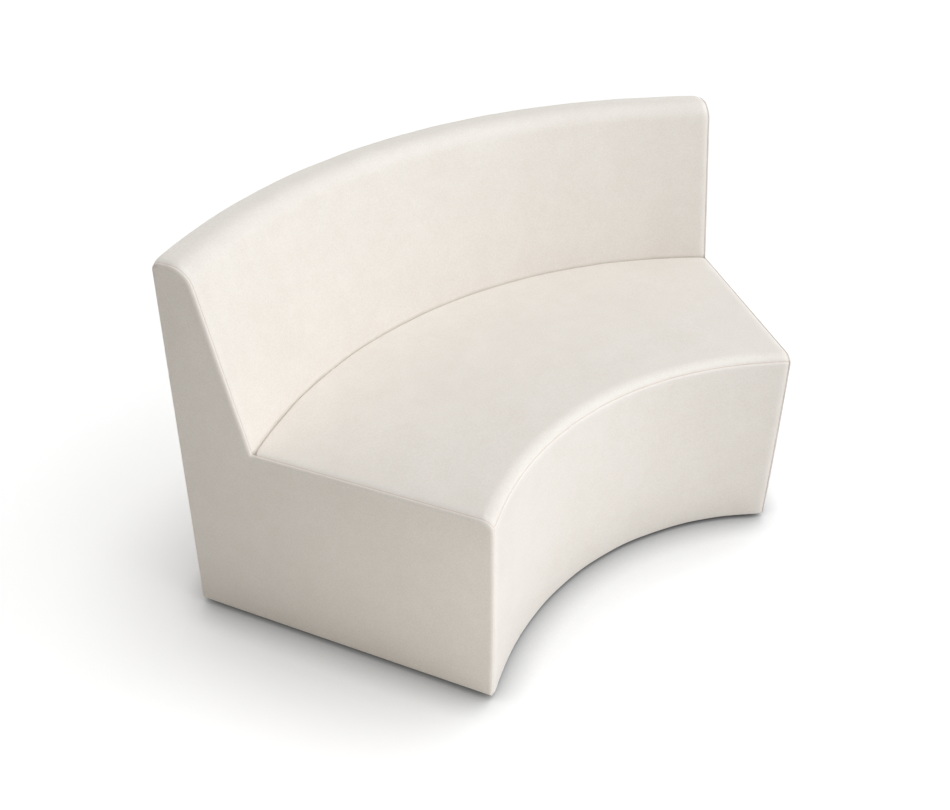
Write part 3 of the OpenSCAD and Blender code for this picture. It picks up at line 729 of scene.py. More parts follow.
# %% [markdown]
# ## Cover of the outside back
# One plain panel hangs from the rear seam to the floor and turns under the board. Its points crowd
# towards the seam, by a power of their share of the height.

# %% Outside-back cover
def outside_section(row, steps=52):
    """Depth and height of the outside back's line, from the rear seam down to the hem flap."""
    fall = REAR_SEAM_Z - (FLOOR_GAP + HEM)
    fall_z = REAR_SEAM_Z - fall * np.linspace(SEAM_HALF, 1, steps) ** 1.4
    turn = arc(90, 0, 9)[1:]
    hem_r = rear_r(FLOOR_GAP + HEM) - HEM * (1 - np.sin(turn))
    hem_z = FLOOR_GAP + HEM * (1 - np.cos(turn))
    flap_r = rear_r(FLOOR_GAP) - np.linspace(HEM, FLAP, 5)[1:]
    r = np.concatenate([rear_r(fall_z), hem_r, flap_r])
    z = np.concatenate([fall_z, hem_z, 0 * flap_r + FLOOR_GAP])
    return depth_at(row, spread(r, row)), spread(z, row)


out_s, out_z = outside_section(row)
outside_cover, out_outer = sewn_cover("outside_back_cover_sewn", out_s, out_z,
                                      shares_by_length(out_s, out_z), 0.0004, 0.2)

# %% [markdown]
# ## Outline of the end panels
# Each end is one L-shaped panel. Its outline is the bench's own section where the end plane cuts
# it: up the front, over the roll and the seat, up the back, over the top, and down and under again.

# %% Outline of an end panel
BORDER, PANEL_SWELL, SWELL_REACH, FLAP_END = 0.0096, 0.0016, 0.045, 0.036
HEART_BEHIND_CREASE, HEART_UNDER_SEAT = 0.045, 0.065


def end_row(side, w):
    """A row of one station, at distance w from the left (-1) or right (1) end plane."""
    return {"a": side * np.atleast_1d(end_angle_at(w)), "g": np.array([side * END]),
            "w": np.array([w]), "crown": np.zeros(1)}


def end_outline(station):
    """Depth and height of the outline, from the front at the floor over seat and back to the rear.

    Each stretch has a fixed count of points, so rings at other distances match point by point.
    The third result is how a point slides along when its ring is drawn further in than the hem:
    fully in the two tight corners at the floor, and less and less away from them."""
    x = np.linspace(0, 1, 53)
    low, high = FLOOR_GAP + HEM, SEAT_Z - ROLL_DROP
    toe = arc(90, 0, 8)
    toe_s, toe_z = HEM * (1 - np.cos(toe)), FLOOR_GAP + HEM * (1 - np.sin(toe))
    up_s, up_z = -FRONT_SWELL * swell(x[1:]), low + x[1:] * (high - low)
    roll_s, roll_z = roll_line(arc(90, 0, 14)[1:])
    crease_s = float(depth_at(station, CREASE_R)[0])
    seat_s = np.linspace(ROLL_DEPTH, crease_s, 62)[1:]
    r, z = (line[:-LAST_STEPS] for line in back_radii(FLOOR_GAP, 48)[:2])
    down = np.linspace(0, 1, 88)[1:]
    rear_z = z[-1] - (z[-1] - low) * down
    back_s = depth_at(station, np.concatenate([r, rear_r(rear_z)])[None, :])[0]
    heel = arc(0, 90, 9)[1:]
    heel_s = back_s[-1] - HEM * (1 - np.cos(heel))
    heel_z = FLOOR_GAP + HEM * (1 - np.sin(heel))
    across = np.linspace(0, 1, 64)[1:-1]
    floor_s = heel_s[-1] - across * (heel_s[-1] - HEM)
    s = np.concatenate([toe_s, up_s, roll_s, seat_s, back_s, heel_s, floor_s])
    z = np.concatenate([toe_z, up_z, roll_z, 0 * seat_s + SEAT_Z, z, rear_z, heel_z,
                        0 * floor_s + FLOOR_GAP])
    still = np.zeros(len(roll_s) + len(seat_s) + len(r))
    slide_s = np.concatenate([1 - np.cos(toe), 0 * up_s, still, 0 * down, np.cos(heel) - 1,
                              2 * across - 1])
    slide_z = np.concatenate([1 - np.sin(toe), 1 - x[1:], still, down, 1 - np.sin(heel),
                              0 * across])
    return s, z, np.stack([slide_s, slide_z], -1)


print("end outline of", len(end_outline(end_row(-1, 0.0))[0]), "points")

# %% [markdown]
# ## Rings of the end panels
# The panel's border rolls round to the seam, which lies just inside the faces beside it. The rings
# near the seam follow the outline at their own distance from the end plane. The flat middle shrinks
# the last ring towards a point that sees the whole outline, so the grid has no holes and no folds.

# %% Rings of an end panel
def drawn_ring(station, d):
    """The closed outline moved inwards by d: each point moves square to its neighbours, and the
    points near the two tight corners at the floor also slide along, so none overtakes another."""
    s, z, slide = end_outline(station)
    here = np.stack([s, z], -1)
    one, two = here - np.roll(here, 1, 0), np.roll(here, -1, 0) - here
    one /= np.linalg.norm(one, axis=1, keepdims=True) + 1e-12
    two /= np.linalg.norm(two, axis=1, keepdims=True) + 1e-12
    na, nb = one[:, ::-1] * [1, -1], two[:, ::-1] * [1, -1]
    bend = np.maximum(1 + (na * nb).sum(1, keepdims=True), 0.5)
    return here + d * (na + nb) / bend + max(d - HEM + 0.0008, 0.0) * slide


def from_outline(side, ring):
    """Distance of each point (n, 2) of a ring to the outline of the end panel."""
    line = drawn_ring(end_row(side, 0.0), 0.0)
    way = np.roll(line, -1, 0) - line
    size = (way ** 2).sum(1) + 1e-12
    gap = ring[:, None] - line[None]
    share = np.clip((gap * way).sum(-1) / size, 0, 1)
    return np.linalg.norm(gap - share[..., None] * way, axis=-1).min(1)


def end_normal(side):
    """Outward direction of an end plane: square to its stations, away from the middle."""
    return np.array([side * math.cos(END), -math.sin(END), 0.0])


def panel_points(side, ring, w):
    """Points of a ring at distance w inside the end plane, or beyond it where w is negative.

    Where w differs from point to point, it is measured square to the end plane."""
    inside = float(np.max(w)) if np.ndim(w) == 0 else 0.0
    line = end_row(side, max(inside, 0.0))
    beyond = np.minimum(w, 0.0) + np.zeros(len(ring))
    return placed(line, ring[None, :, 0], ring[None, :, 1])[0] - beyond[:, None] * end_normal(side)


def end_panel(side):
    """Outer points of one end panel, ring by ring from its seam, and each point's seam distance.

    The border is a quarter turn: drawn in by LIP + B (1 - cos a), inside the plane by
    S (1 - sin a). The middle swells beyond the plane, further the further it is from the border."""
    rings = []
    for turn in arc(0, 90, 14):
        d = BORDER * turn
        u, w = LIP + BORDER * (1 - math.cos(turn)), (SEAM_W - SEAM_GAP) * (1 - math.sin(turn))
        rings.append((drawn_ring(end_row(side, w), u + float(tuck(d))), w, d))
    edge = rings[-1][0]
    crease = float(depth_at(end_row(side, 0.0), CREASE_R)[0])
    heart = np.array([crease + HEART_BEHIND_CREASE, SEAT_Z - HEART_UNDER_SEAT])
    for share in np.linspace(1, 0.02, 34)[1:]:
        ring = heart + (edge - heart) * share
        away = np.maximum(from_outline(side, ring) - LIP - BORDER, 0)
        bulge = PANEL_SWELL * (1 - np.exp(-(away / SWELL_REACH) ** 2))
        rings.append((ring, -bulge, away + 1.57 * BORDER))
    outer = np.array([panel_points(side, ring, w) for ring, w, _ in rings])
    seam = np.array([d + np.zeros(outer.shape[1]) for _, _, d in rings])
    uneven = waves(outer[..., 1], outer[..., 2], 0.00025, 0.15) * free(seam)
    return outer + uneven[..., None] * end_normal(side), seam


print("end planes face", [[round(float(v), 3) for v in end_normal(side)] for side in (-1, 1)])

# %% [markdown]
# ## End panels
# The panel gets its thickness square to its own surface, so the rolled border keeps it too. Below,
# it turns under the board in a flap, which is a closed strip of its own in the same piece.

# %% End panels
def flap_ring(side, w):
    """The strip of an end panel under the board, at distance w: a line from front to rear."""
    line = end_row(side, w)
    length = float(depth_at(line, rear_r(FLOOR_GAP))[0])
    s_line = np.linspace(FLAP_END, length - FLAP_END, 60)
    return placed(line, s_line[None], np.full((1, 60), FLOOR_GAP))[0]


def end_shell(name, side):
    """Closed thin solid of an end panel: its outer rings, then its inner rings back to the seam,
    and the flap that turns under the bottom board."""
    outer, seam = end_panel(side)
    slope = np.cross(np.gradient(outer, axis=0), np.roll(outer, -1, 1) - np.roll(outer, 1, 1))
    slope /= np.linalg.norm(slope, axis=-1, keepdims=True) + 1e-12
    slope *= np.sign((slope[20] @ end_normal(side)).mean())
    rings = np.concatenate([outer[::-1], outer - COVER * slope])
    points = rings.reshape(-1, 3)
    quads, caps = turned_outwards(points, *tube_faces(*rings.shape[:2]))
    flap = np.array([flap_ring(side, w) for w in np.linspace(HEM, FLAP, 5)])
    flap_points, *flap_faces = thin_solid(flap, flap + [0, 0, COVER])
    flap_quads, _ = turned_outwards(flap_points, *flap_faces)
    quads = np.concatenate([quads, flap_quads + len(points)])
    piece = mesh_piece(name, np.concatenate([points, flap_points]), quads, caps, closed=False)
    point_value(piece, "seam", np.concatenate([seam[::-1].ravel(), seam.ravel(),
                                               np.full(len(flap_points), 0.05)]))
    return piece, outer


left_panel, left_outer = end_shell("end_cover_left_sewn", -1)
right_panel, right_outer = end_shell("end_cover_right_sewn", 1)

# %% [markdown]
# ## Foam and wadding
# Under the covers lie the foams: a thick block on the seat, a tapered one on the back, thin sheets
# on the front and the ends, and wadding on the outside back. Each is a closed ring of a section at
# every station, like the covers, but a little further in, so the leatherette never cuts into it.
# Their corners are rounded as cut and glued foam is.

# %% Rings of the foams
FIT, SEAM_DIP, ROLL_ARC = 0.0006, 0.0022, 1.07
FOAM_W = END_FOAM + COVER + FIT
CLEAR = COVER + 0.0014
inner_row = row_of_stations(np.array([]), FOAM_W, 41)


def end_drop(row):
    """How much further in the foam lies near the ends, where the covers roll down to their seam."""
    return edge_roll(row["w"] - SEAM_W)[:, None]


def foam_block(name, s, z, row):
    """Closed solid through the rings (s, z), both (n, m), one at each station of the row."""
    return mesh_piece(name, placed(row, s, z).reshape(-1, 3), *tube_faces(*s.shape))


def seat_foam_ring(row):
    """The seat's line moved in by the cover, from the deck up the front and back to the deck.

    Under the front seam it dips by SEAM_DIP. The seam lies ROLL_ARC times a round roll's length
    up the ellipse."""
    front_z = np.linspace(DECK_Z, SEAT_Z - ROLL_DROP, 7)[:-1]
    roll_s, roll_z = roll_line(arc(90, 0, 16)[:-1])
    seat_s, seat_z = seat_section(row)
    seat_s, seat_z = seat_s[:, ROLL_STEPS - 1:], seat_z[:, ROLL_STEPS - 1:]
    s = np.concatenate([spread(0 * front_z, row), spread(roll_s, row), seat_s], 1)
    z = np.concatenate([spread(front_z, row), spread(roll_z, row), seat_z], 1)
    along = shares_by_length(s, z)
    from_seam = np.abs(along - (SEAT_Z - ROLL_DROP - DECK_Z)
                       - ROLL_ARC * ROLL_DROP * math.radians(90 - SEAM_ANGLE))
    s, z = set_in(s, z, CLEAR + SEAM_DIP * np.exp(-(from_seam / 0.005) ** 2) + end_drop(row))
    z = np.maximum(z, DECK_Z)
    under = np.linspace(1, 0, 9)[None, 1:-1]
    under_s = s[:, :1] + under * (s[:, -1:] - s[:, :1])
    return np.concatenate([s, under_s], 1), np.concatenate([z, 0 * under_s + DECK_Z], 1)


def back_foam_ring(row):
    """The back's line moved in by the cover, closed along the top former and the inner skin."""
    r, z, out = back_radii(WOOD_TOP)
    low_z = np.linspace(DECK_Z, SEAT_Z - CREASE, 5)
    r, z = np.concatenate([0 * low_z + CREASE_R, r]), np.concatenate([low_z, z])
    out = np.concatenate([0 * low_z, out])
    s, z = depth_at(row, spread(r, row)), spread(z, row)
    s, z = set_in(s, z, CLEAR + FIT + out[None, :] * row["crown"][:, None] + end_drop(row))
    s, z = s[:, :-1], np.maximum(z[:, :-1], DECK_Z)
    low, high = CREASE_R + 0.050, face_r(WOOD_TOP) + 0.028
    skin_z = np.linspace(WOOD_TOP, DECK_Z, 14)
    skin_r = low + (high - low) * (skin_z - SEAT_Z) / (WOOD_TOP - SEAT_Z)
    top_r = np.linspace(rear_r(WOOD_TOP) - CLEAR - FIT, skin_r[0], 5)[:-1]
    rest_s = depth_at(row, spread(np.concatenate([top_r, skin_r]), row))
    rest_z = spread(np.concatenate([0 * top_r + WOOD_TOP, skin_z]), row)
    return np.concatenate([s, rest_s], 1), np.concatenate([z, rest_z], 1)


def flat_ring(row, outer, inner, height, front=False):
    """Thin sheet between two lines at the same heights, given as depths from the front, or else
    as radii of the back."""
    lines, half = spread(np.concatenate([outer, inner[::-1]]), row), len(outer)
    lines[:, :half] += end_drop(row) * (1 if front else -1)
    z = spread(np.concatenate([height, height[::-1]]), row)
    return (lines if front else depth_at(row, lines)), z


seat_foam = foam_block("seat_foam_block", *seat_foam_ring(inner_row), inner_row)
back_foam = foam_block("back_foam_block", *back_foam_ring(inner_row), inner_row)
front_x = np.linspace(0, 1, 22)
front_foam = foam_block("front_foam_sheet", *flat_ring(
    inner_row, CLEAR - 0.0016 * swell(front_x), np.full(22, COVER + 0.010),
    FLOOR_GAP + HEM + front_x * (DECK_Z - FLOOR_GAP - HEM), front=True), inner_row)
wadding_z = np.linspace(FLOOR_GAP + COVER, REAR_SEAM_Z - 0.0008, 30)
wadding = foam_block("outside_back_wadding_sheet", *flat_ring(
    inner_row, rear_r(wadding_z) - CLEAR, rear_r(wadding_z) - COVER - WADDING + 0.0002,
    wadding_z), inner_row)

# %% [markdown]
# ## Foam of the ends
# The end foam is cut to the panel's outline, a little inside it, and has a slot where the covers of
# the seat and the back dive past it at the crease. Its outer edge is chamfered in three steps.

# %% End foams
SLOT_FRONT, SLOT_REAR, CREASE_POINT = 0.0075, 0.0105, 140


def end_foam_sheet(name, side):
    """The panel's outline drawn in, with the slot put in between the last point before the crease
    and the first one on the back, and repeated at four distances from the end plane."""
    station = end_row(side, 0.0)
    line = drawn_ring(station, 0.0115)
    crease = float(depth_at(station, CREASE_R)[0])
    order = np.arange(len(line))
    before = order[(line[:, 0] < crease - 0.008) & (order < CREASE_POINT)][-1]
    after = order[(line[:, 1] > SEAT_Z + 0.016) & (order > before)][0]
    front, rear = crease - SLOT_FRONT, crease + SLOT_REAR
    slot = [[front, line[before, 1]], [front, DECK_Z], [rear, DECK_Z]]
    if line[after, 0] >= rear:
        slot.append([rear, line[after, 1] - 0.004])
    line = np.concatenate([line[:before + 1], slot, line[after:]])
    inward = line.mean(0) - line
    inward /= np.linalg.norm(inward, axis=1, keepdims=True)
    points = []
    for draw, w in ((0.0, FOAM_W - FIT), (0.0, 0.0048), (0.0004, 0.0036), (0.0016, 0.0030)):
        s, z = (line + draw * inward).T[:, None]
        points.append(placed(station, s, z)[0] - w * end_normal(side))
    points = np.array(points)
    return mesh_piece(name, points.reshape(-1, 3), *tube_faces(*points.shape[:2]), smooth_deg=35)


end_foams = {side: end_foam_sheet(f"end_foam_{name}_sheet", side)
             for side, name in ((-1, "left"), (1, "right"))}

# %% [markdown]
# ## Dust cover
# A thin black cloth is stapled under the bench, over the hems. It lies against the hems round its
# border, rises to the board between them, and is cut out round the stems of the six glides. Its
# grid is spaced so that a grid point lies on each stem: the four faces round that point are left
# out, and the eight points round them are moved onto the edge of the hole.

# %% Grid of the dust cover
GLIDE_SHARE, HOLE_R, DUST = 0.78, 0.0056, 0.0006
COLUMNS, STEP, CLOTH_END = 100, 0.0095, 0.034
UP = np.array([0.0, 0.0, 1.0])


def glide_places():
    """Where the stems stand: on three stations, one near the front and one near the rear."""
    t = np.array([-GLIDE_SHARE, 0.0, GLIDE_SHARE])
    line = {"a": t * end_angle_at(0.0), "g": t * END}
    near = placed(line, np.full((3, 1), MARGIN), np.zeros((3, 1)))[:, 0]
    far = placed(line, depth_at(line, np.full((3, 1), REAR_R - MARGIN)), np.zeros((3, 1)))[:, 0]
    return {f"glide_{end}_{place}": point[i] for end, point in (("front", near), ("rear", far))
            for i, place in enumerate(("left", "centre", "right"))}


def dust_grid():
    """Points of the dust cover, (columns, rows, 3), with even rows of STEP near both long edges."""
    t = np.linspace(-1, 1, COLUMNS + 1)
    keep = 1 - CLOTH_END / (FRONT_R * END_ARC)
    line = {"a": t * end_angle_at(0.0), "g": t * END}
    rear = depth_at(line, np.full((len(t), 1), REAR_R - MARGIN))
    steps = np.arange(-6, 7) * STEP
    near, far = MARGIN + steps[None] + 0 * rear, rear + steps[None]
    share = np.linspace(0, 1, 30)[None, 1:-1]
    between = near[:, -1:] + share * (far[:, :1] - near[:, -1:])
    s = np.concatenate([near, between, far], 1)
    return placed(line, s, 0 * s)[np.abs(t) < keep]


glides, dust_points = glide_places(), dust_grid()
count_t, count_s = dust_points.shape[:2]
print("dust cover grid", count_t, "x", count_s, "over", len(glides), "glides")

# %% Dust cover
border = np.minimum.reduce(np.broadcast_arrays(
    np.arange(count_s)[None], np.arange(count_s)[::-1][None],
    np.arange(count_t)[:, None], np.arange(count_t)[::-1][:, None])) * STEP
rise = 1 - np.exp(-(np.maximum(border - 0.016, 0) / 0.02) ** 2)
ripple = waves(dust_points[..., 0], dust_points[..., 1], 0.00012, 0.05)
dust_points[..., 2] = FLOOR_GAP - DUST / 2 - 0.0001 + 0.0011 * rise + ripple * rise
quad_keep = np.ones((count_t - 1, count_s - 1), bool)
for stem in glides.values():
    gap = np.linalg.norm(dust_points[..., :2] - stem[:2], axis=-1)
    i, j = np.unravel_index(gap.argmin(), gap.shape)
    quad_keep[i - 1:i + 1, j - 1:j + 1] = False
    block = dust_points[i - 1:i + 2, j - 1:j + 2, :2]
    way = block - stem[:2]
    length = np.linalg.norm(way, axis=-1, keepdims=True)
    block[:] = stem[:2] + way / np.maximum(length, 1e-6) * HOLE_R
dust_quads = grid_quads(count_t, count_s)[quad_keep.ravel()]
used, dust_quads = np.unique(dust_quads, return_inverse=True)
dust_cover = mesh_piece("dust_cover_cloth", dust_points.reshape(-1, 3)[used],
                        dust_quads.reshape(-1, 4), closed=False, smooth_deg=60)
wall = dust_cover.modifiers.new("thickness", "SOLIDIFY")
wall.thickness, wall.offset = DUST, 0.0
dust_area = grid_area(dust_points)
print("dust cover area", round(dust_area, 3), "m2, holes", len(glides))

# %% [markdown]
# ## Staples
# Each staple is a bent wire that lies flat on the cloth along its border, with both ends dipping
# into the board. All of them are worked out as one array: a line of eight points with a ring of six
# round each.

# %% Staples of the dust cover
def staples(middles, ways, wide=0.0105, thick=0.0009):
    """Points, quads and caps of flat wire staples, from the middles (n, 3) of their crowns and the
    directions (n, 3) the crowns run in."""
    x = np.array([-0.5, -0.5, -0.46, -0.38, 0.38, 0.46, 0.5, 0.5])
    dip = np.array([0.0022, 0.0008, 0.0002, 0, 0, 0.0002, 0.0008, 0.0022])
    turn = (np.arange(6) * math.tau / 6)[:, None]
    side = np.cross(ways, UP)[:, None, None]
    line = middles[:, None] + ways[:, None] * (x * wide)[:, None] + UP * dip[:, None]
    points = line[:, :, None] + (side * np.cos(turn) + UP * np.sin(turn)) * thick / 2
    n, m = points.shape[:2]
    quads, caps = tube_faces(m, 6)
    first = np.arange(n) * m * 6
    return (points.reshape(-1, 3), (quads + first[:, None, None]).reshape(-1, 4),
            [cap + k for k in first for cap in caps])


edges = [dust_points[3:-3:5, 1], dust_points[3:-3:5, -2], dust_points[1, 4:-4:5],
         dust_points[-2, 4:-4:5]]
where = np.concatenate(edges) * [1, 1, 0] + [0, 0, FLOOR_GAP - DUST - 0.0005]
way = np.concatenate([np.gradient(e, axis=0) for e in edges]) * [1, 1, 0]
way /= np.linalg.norm(way, axis=1, keepdims=True)
staple_row = mesh_piece("dust_cover_staples", *staples(where, way))
print(len(where), "staples")

# %% [markdown]
# ## Levelling glides
# Each glide is a low nylon foot with a six-sided wrench collar, moulded on an M8 stem. The foot is
# a profile turned about its axis, whose radius follows a hexagon at the collar. The thread is the
# same kind of surface: its radius depends on height and angle together, which makes a helix.

# %% Glides with threads
FOOT_R, COLLAR_R, FOOT_H, RIM = 0.022, 0.011, 0.009, 0.0011
STEM_R, STEM_TOP, PITCH, THREAD, TIP = 0.004, 0.046, 0.00125, 0.00062, 0.0012


def turned(centre, radius, height):
    """Closed surface of the radii (rows, angles) at the heights (rows, 1) round a centre."""
    turn = np.arange(radius.shape[1]) * math.tau / radius.shape[1]
    x, y = centre[0] + radius * np.cos(turn), centre[1] + radius * np.sin(turn)
    points = np.stack([x, y, height + 0 * x], -1)
    return (points.reshape(-1, 3), *tube_faces(*radius.shape))


def glide_foot(name, centre):
    """Sole with a rounded rim, a sloped shoulder and a hexagonal collar with a chamfer."""
    turn = np.arange(96) * math.tau / 96
    hexagon = math.cos(math.pi / 6) / np.cos((turn + math.pi / 6) % (math.pi / 3) - math.pi / 6)
    rim = arc(-90, 0, 6)
    shoulder_r, shoulder_z = [FOOT_R, 0.0212, 0.0150, 0.0136], [0.0029, 0.0038, 0.0074, 0.0079]
    r = np.concatenate([[0.016], FOOT_R - RIM + RIM * np.cos(rim), shoulder_r])
    z = np.concatenate([[0.0], RIM + RIM * np.sin(rim), shoulder_z, [0.0079, 0.0086, FOOT_H]])
    collar = np.array([1.0, 1.0, 0.95])[:, None] * COLLAR_R * hexagon
    radius = np.concatenate([r[:, None] + 0 * turn, collar])
    return mesh_piece(name, *turned(centre, radius, z[:, None]), smooth_deg=30)


def glide_stem(name, centre):
    """Threaded rod: r = R - depth * tooth(z / pitch - angle / turn), with a chamfered tip."""
    z = np.linspace(FOOT_H, STEM_TOP, 238)[:, None]
    turn = np.arange(24)[None] / 24
    tooth = np.abs(((z / PITCH - turn) % 1.0) * 2 - 1)
    depth = THREAD * np.clip((z - FOOT_H) / 0.002, 0, 1)
    r = STEM_R - 0.00003 - depth * tooth
    tip = np.maximum(z - (STEM_TOP - TIP), 0)
    return mesh_piece(name, *turned(centre, np.minimum(r, STEM_R - 0.9 * tip), z), smooth_deg=25)


glide_pieces = {name: (glide_foot(name + "_foot", centre), glide_stem(name + "_stem", centre))
                for name, centre in glides.items()}

# %% [markdown]
# ## Leatherette
# The cover is an ivory leatherette with a soft, almost suede-like bloom. Close up it has a fine
# pebble grain and small flecks; from further away the colour is softly mottled. Both are noise at
# several scales, and the grain also makes the bump. In the grooves at the seams the colour is
# darkened as painted shade, with a little dirt. Beside them a paler band is painted as a highlight
# on the ridges, which are also rubbed a little smoother.

# %% Leatherette finish
def leatherette(name):
    """Mottled colour, pebble grain, painted shade and a little dirt in seams, a painted highlight
    on rubbed ridges.
    """
    f = Finish(name, "cover_leatherette", roughness=0.44, specular_ior_level=0.45)
    where = f.place()
    drift = f.noise(where, 5.0, 2.0, 0.5)
    cloud = f.noise(where, 22.0, 4.0, 0.6, 0.4)
    fleck = f.noise(where, 260.0, 3.0, 0.65)
    speck = f.noise(where, 620.0, 2.0, 0.6)
    grain = f.pebbles(where, 900.0, "SMOOTH_F1")
    fine = f.noise(where, 1500.0, 2.0, 0.6)
    mottle = ((drift - 0.5) * 0.3 + (cloud - 0.5) * 0.35 + (fleck - 0.5) * 0.9
              + (speck - 0.5) * 1.0 + 0.5)
    tone = f.blend(mottle.step(0.12, 0.88), (0.790, 0.735, 0.672), (0.880, 0.838, 0.785))
    seam = f.value("seam")
    # Painted shade: the colour is darkened in the seam grooves, with a little dirt.
    groove_shade_and_dirt = 1 - seam.step(0.0, 0.0016)
    # Painted highlight: a paler band beside the seams; the same band is also a little smoother, as
    # rubbed.
    ridge_highlight_and_rub = 1 - seam.step(0.002, 0.020)
    tone = f.blend(ridge_highlight_and_rub * 0.3, tone, (0.920, 0.885, 0.842))
    colour = f.blend(groove_shade_and_dirt * 0.42, tone, (0.60, 0.40, 0.33))
    rough = 0.43 + (fleck - 0.5) * 0.16 + (cloud - 0.5) * 0.10 - ridge_highlight_and_rub * 0.05
    low = f.bump(cloud * 0.4 + fleck * 0.6, 0.0004)
    skin = f.bump(grain * 0.6 + fine * 0.4, 0.00010, low)
    f.feed(base_color=colour, roughness=rough, normal=skin)
    return f


ivory = leatherette("ivory_leatherette")
for piece, node in ((seat_cover, "seat_cover"), (front_cover, "front_cover"),
                    (back_cover, "inside_back_cover"), (outside_cover, "outside_back_cover"),
                    (left_panel, "end_cover_left"), (right_panel, "end_cover_right")):
    dress(piece, ivory, [node])
print("leatherette of", len(ivory.tree.nodes), "nodes on six covers")

# %% [markdown]
# ## Cuts of the covers
# Each cover is one cut of cloth, held stretched over its foam. Its area is worked out on the
# finished surface.

# %% Flat sizes of the covers
PANEL_HEM, PANEL_FLAP, PANEL_TURN = 0.02, 0.05, 0.6 * 0.026


def stretched(outer):
    """Works out a cover's area, as one cut of cloth, on the finished surface."""
    area = grid_area(outer)


def stretched_panel(outer):
    """Works out an end panel's area, with a strip added for its turn under the board."""
    ring = np.concatenate([outer, outer[:, :1]], 1)
    area = grid_area(ring) + PANEL_TURN


stretched(seat_outer)
stretched(front_outer)
stretched(back_outer)
stretched(out_outer)
stretched_panel(left_outer)
stretched_panel(right_outer)

# %% [markdown]
# ## Foam, wadding and dust cloth
# Open-cell foam is a crowd of small pores, which a Voronoi texture gives. Wadding is a tangle of
# fibres: noise that is stretched and warped. The dust cloth is a thin felt pressed at small points.

# %% Finishes of the hidden soft pieces
def open_foam(name):
    """Cream foam: dark pores in a Voronoi pattern, over slow yellowing."""
    f = Finish(name, "foam", roughness=0.95, specular_ior_level=0.2)
    where = f.place()
    pores = f.pebbles(where, 620.0)
    cloud = f.noise(where, 9.0, 3.0, 0.6)
    tone = f.blend(cloud.step(0.3, 0.7), (0.86, 0.76, 0.50), (0.92, 0.86, 0.66))
    colour = f.blend(1 - pores.step(0.15, 0.55), tone, (0.55, 0.45, 0.26))
    f.feed(base_color=colour, roughness=0.9 + pores * 0.1, normal=f.bump(pores, 0.0006))
    return f


def fibre_wadding(name):
    """White polyester wadding: warped fibres at two scales."""
    f = Finish(name, "wadding", roughness=0.98, specular_ior_level=0.15)
    hair = f.noise(f.place(stretch=(1.0, 1.0, 0.25)), 420.0, 5.0, 0.75, 2.5)
    tuft = f.noise(f.place(), 55.0, 3.0, 0.6, 1.0)
    colour = f.blend(hair.step(0.3, 0.7), (0.74, 0.74, 0.72), (0.93, 0.93, 0.92))
    f.feed(base_color=colour, roughness=0.9 + hair * 0.1,
           normal=f.bump(hair * 0.5 + tuft * 0.5, 0.0012))
    return f


def felt_cloth(name):
    """Black non-woven cloth: fibres, and the small pits where it was pressed together."""
    f = Finish(name, "dust_cloth", roughness=0.9, specular_ior_level=0.25)
    where = f.place(turn_deg=31.0)
    pits = f.pebbles(where, 520.0)
    hair = f.noise(where, 900.0, 4.0, 0.7, 1.5)
    lint = f.noise(where, 40.0, 6.0, 0.8)
    tone = f.blend(hair.step(0.3, 0.75), (0.018, 0.018, 0.020), (0.060, 0.060, 0.064))
    colour = f.blend(lint.step(0.66, 0.80) * 0.5, tone, (0.20, 0.19, 0.18))
    f.feed(base_color=colour, roughness=0.8 + hair * 0.2,
           normal=f.bump(pits * 0.6 + hair * 0.4, 0.0003))
    return f


foam_finish = open_foam("cream_foam")
for piece, node in ((seat_foam, "seat_foam"), (back_foam, "back_foam"), (front_foam, "front_foam"),
                    (end_foams[-1], "end_foam_left"), (end_foams[1], "end_foam_right")):
    dress(piece, foam_finish, [node])
dress(wadding, fibre_wadding("white_wadding"), ["outside_back_wadding"])
dress(dust_cover, felt_cloth("black_dust_cloth"), ["dust_cover"])

# %% [markdown]
# ## Metal and nylon
# The stems, T-nuts, screws and staples are zinc-plated steel: a metal whose passivated film is
# slightly uneven in tone and gloss. The feet are moulded nylon, scuffed where they slide.

# %% Finishes of the glides and fasteners
ZINC_ROUGHNESS = 0.34


def zinc(name):
    """Zinc-plated steel: cloudy film, fine brush marks and dull spots."""
    f = Finish(name, "steel", metallic=1.0, roughness=ZINC_ROUGHNESS)
    where = f.place()
    film = f.noise(where, 160.0, 4.0, 0.6, 0.6)
    brush = f.noise(f.place(stretch=(1.0, 1.0, 14.0)), 900.0, 2.0, 0.6)
    colour = f.blend(film.step(0.3, 0.7), (0.46, 0.47, 0.49), (0.70, 0.71, 0.73))
    rough = ZINC_ROUGHNESS + (film - 0.5) * 0.3 + (brush - 0.5) * 0.12
    f.feed(base_color=colour, roughness=rough, normal=f.bump(brush, 0.00004))
    return f


def nylon(name):
    """Black moulded nylon: fine mould texture, with grey scuffs on the sole."""
    f = Finish(name, "glide_plastic", roughness=0.45, specular_ior_level=0.45)
    where = f.place()
    mould = f.noise(where, 1300.0, 2.0, 0.6)
    scuff = f.noise(f.place(turn_deg=24.0, stretch=(1.0, 9.0, 1.0)), 120.0, 5.0, 0.7)
    low = 1 - f.axis(where, "Z").step(0.0003, 0.0022)
    mask = scuff.step(0.50, 0.66) * low
    colour = f.blend(mask * 0.7, (0.022, 0.022, 0.024), (0.17, 0.165, 0.16))
    rough = 0.42 + mould * 0.12 + mask * 0.25
    f.feed(base_color=colour, roughness=rough, normal=f.bump(mould, 0.00008))
    return f


zinc_finish, nylon_finish = zinc("zinc_plated_steel"), nylon("black_nylon")
for name, (foot, stem) in glide_pieces.items():
    dress(foot, nylon_finish, [name], body=name)
    dress(stem, zinc_finish, [name], body=name)
dress(staple_row, zinc_finish)
print("zinc and nylon on", len(glide_pieces), "glides")

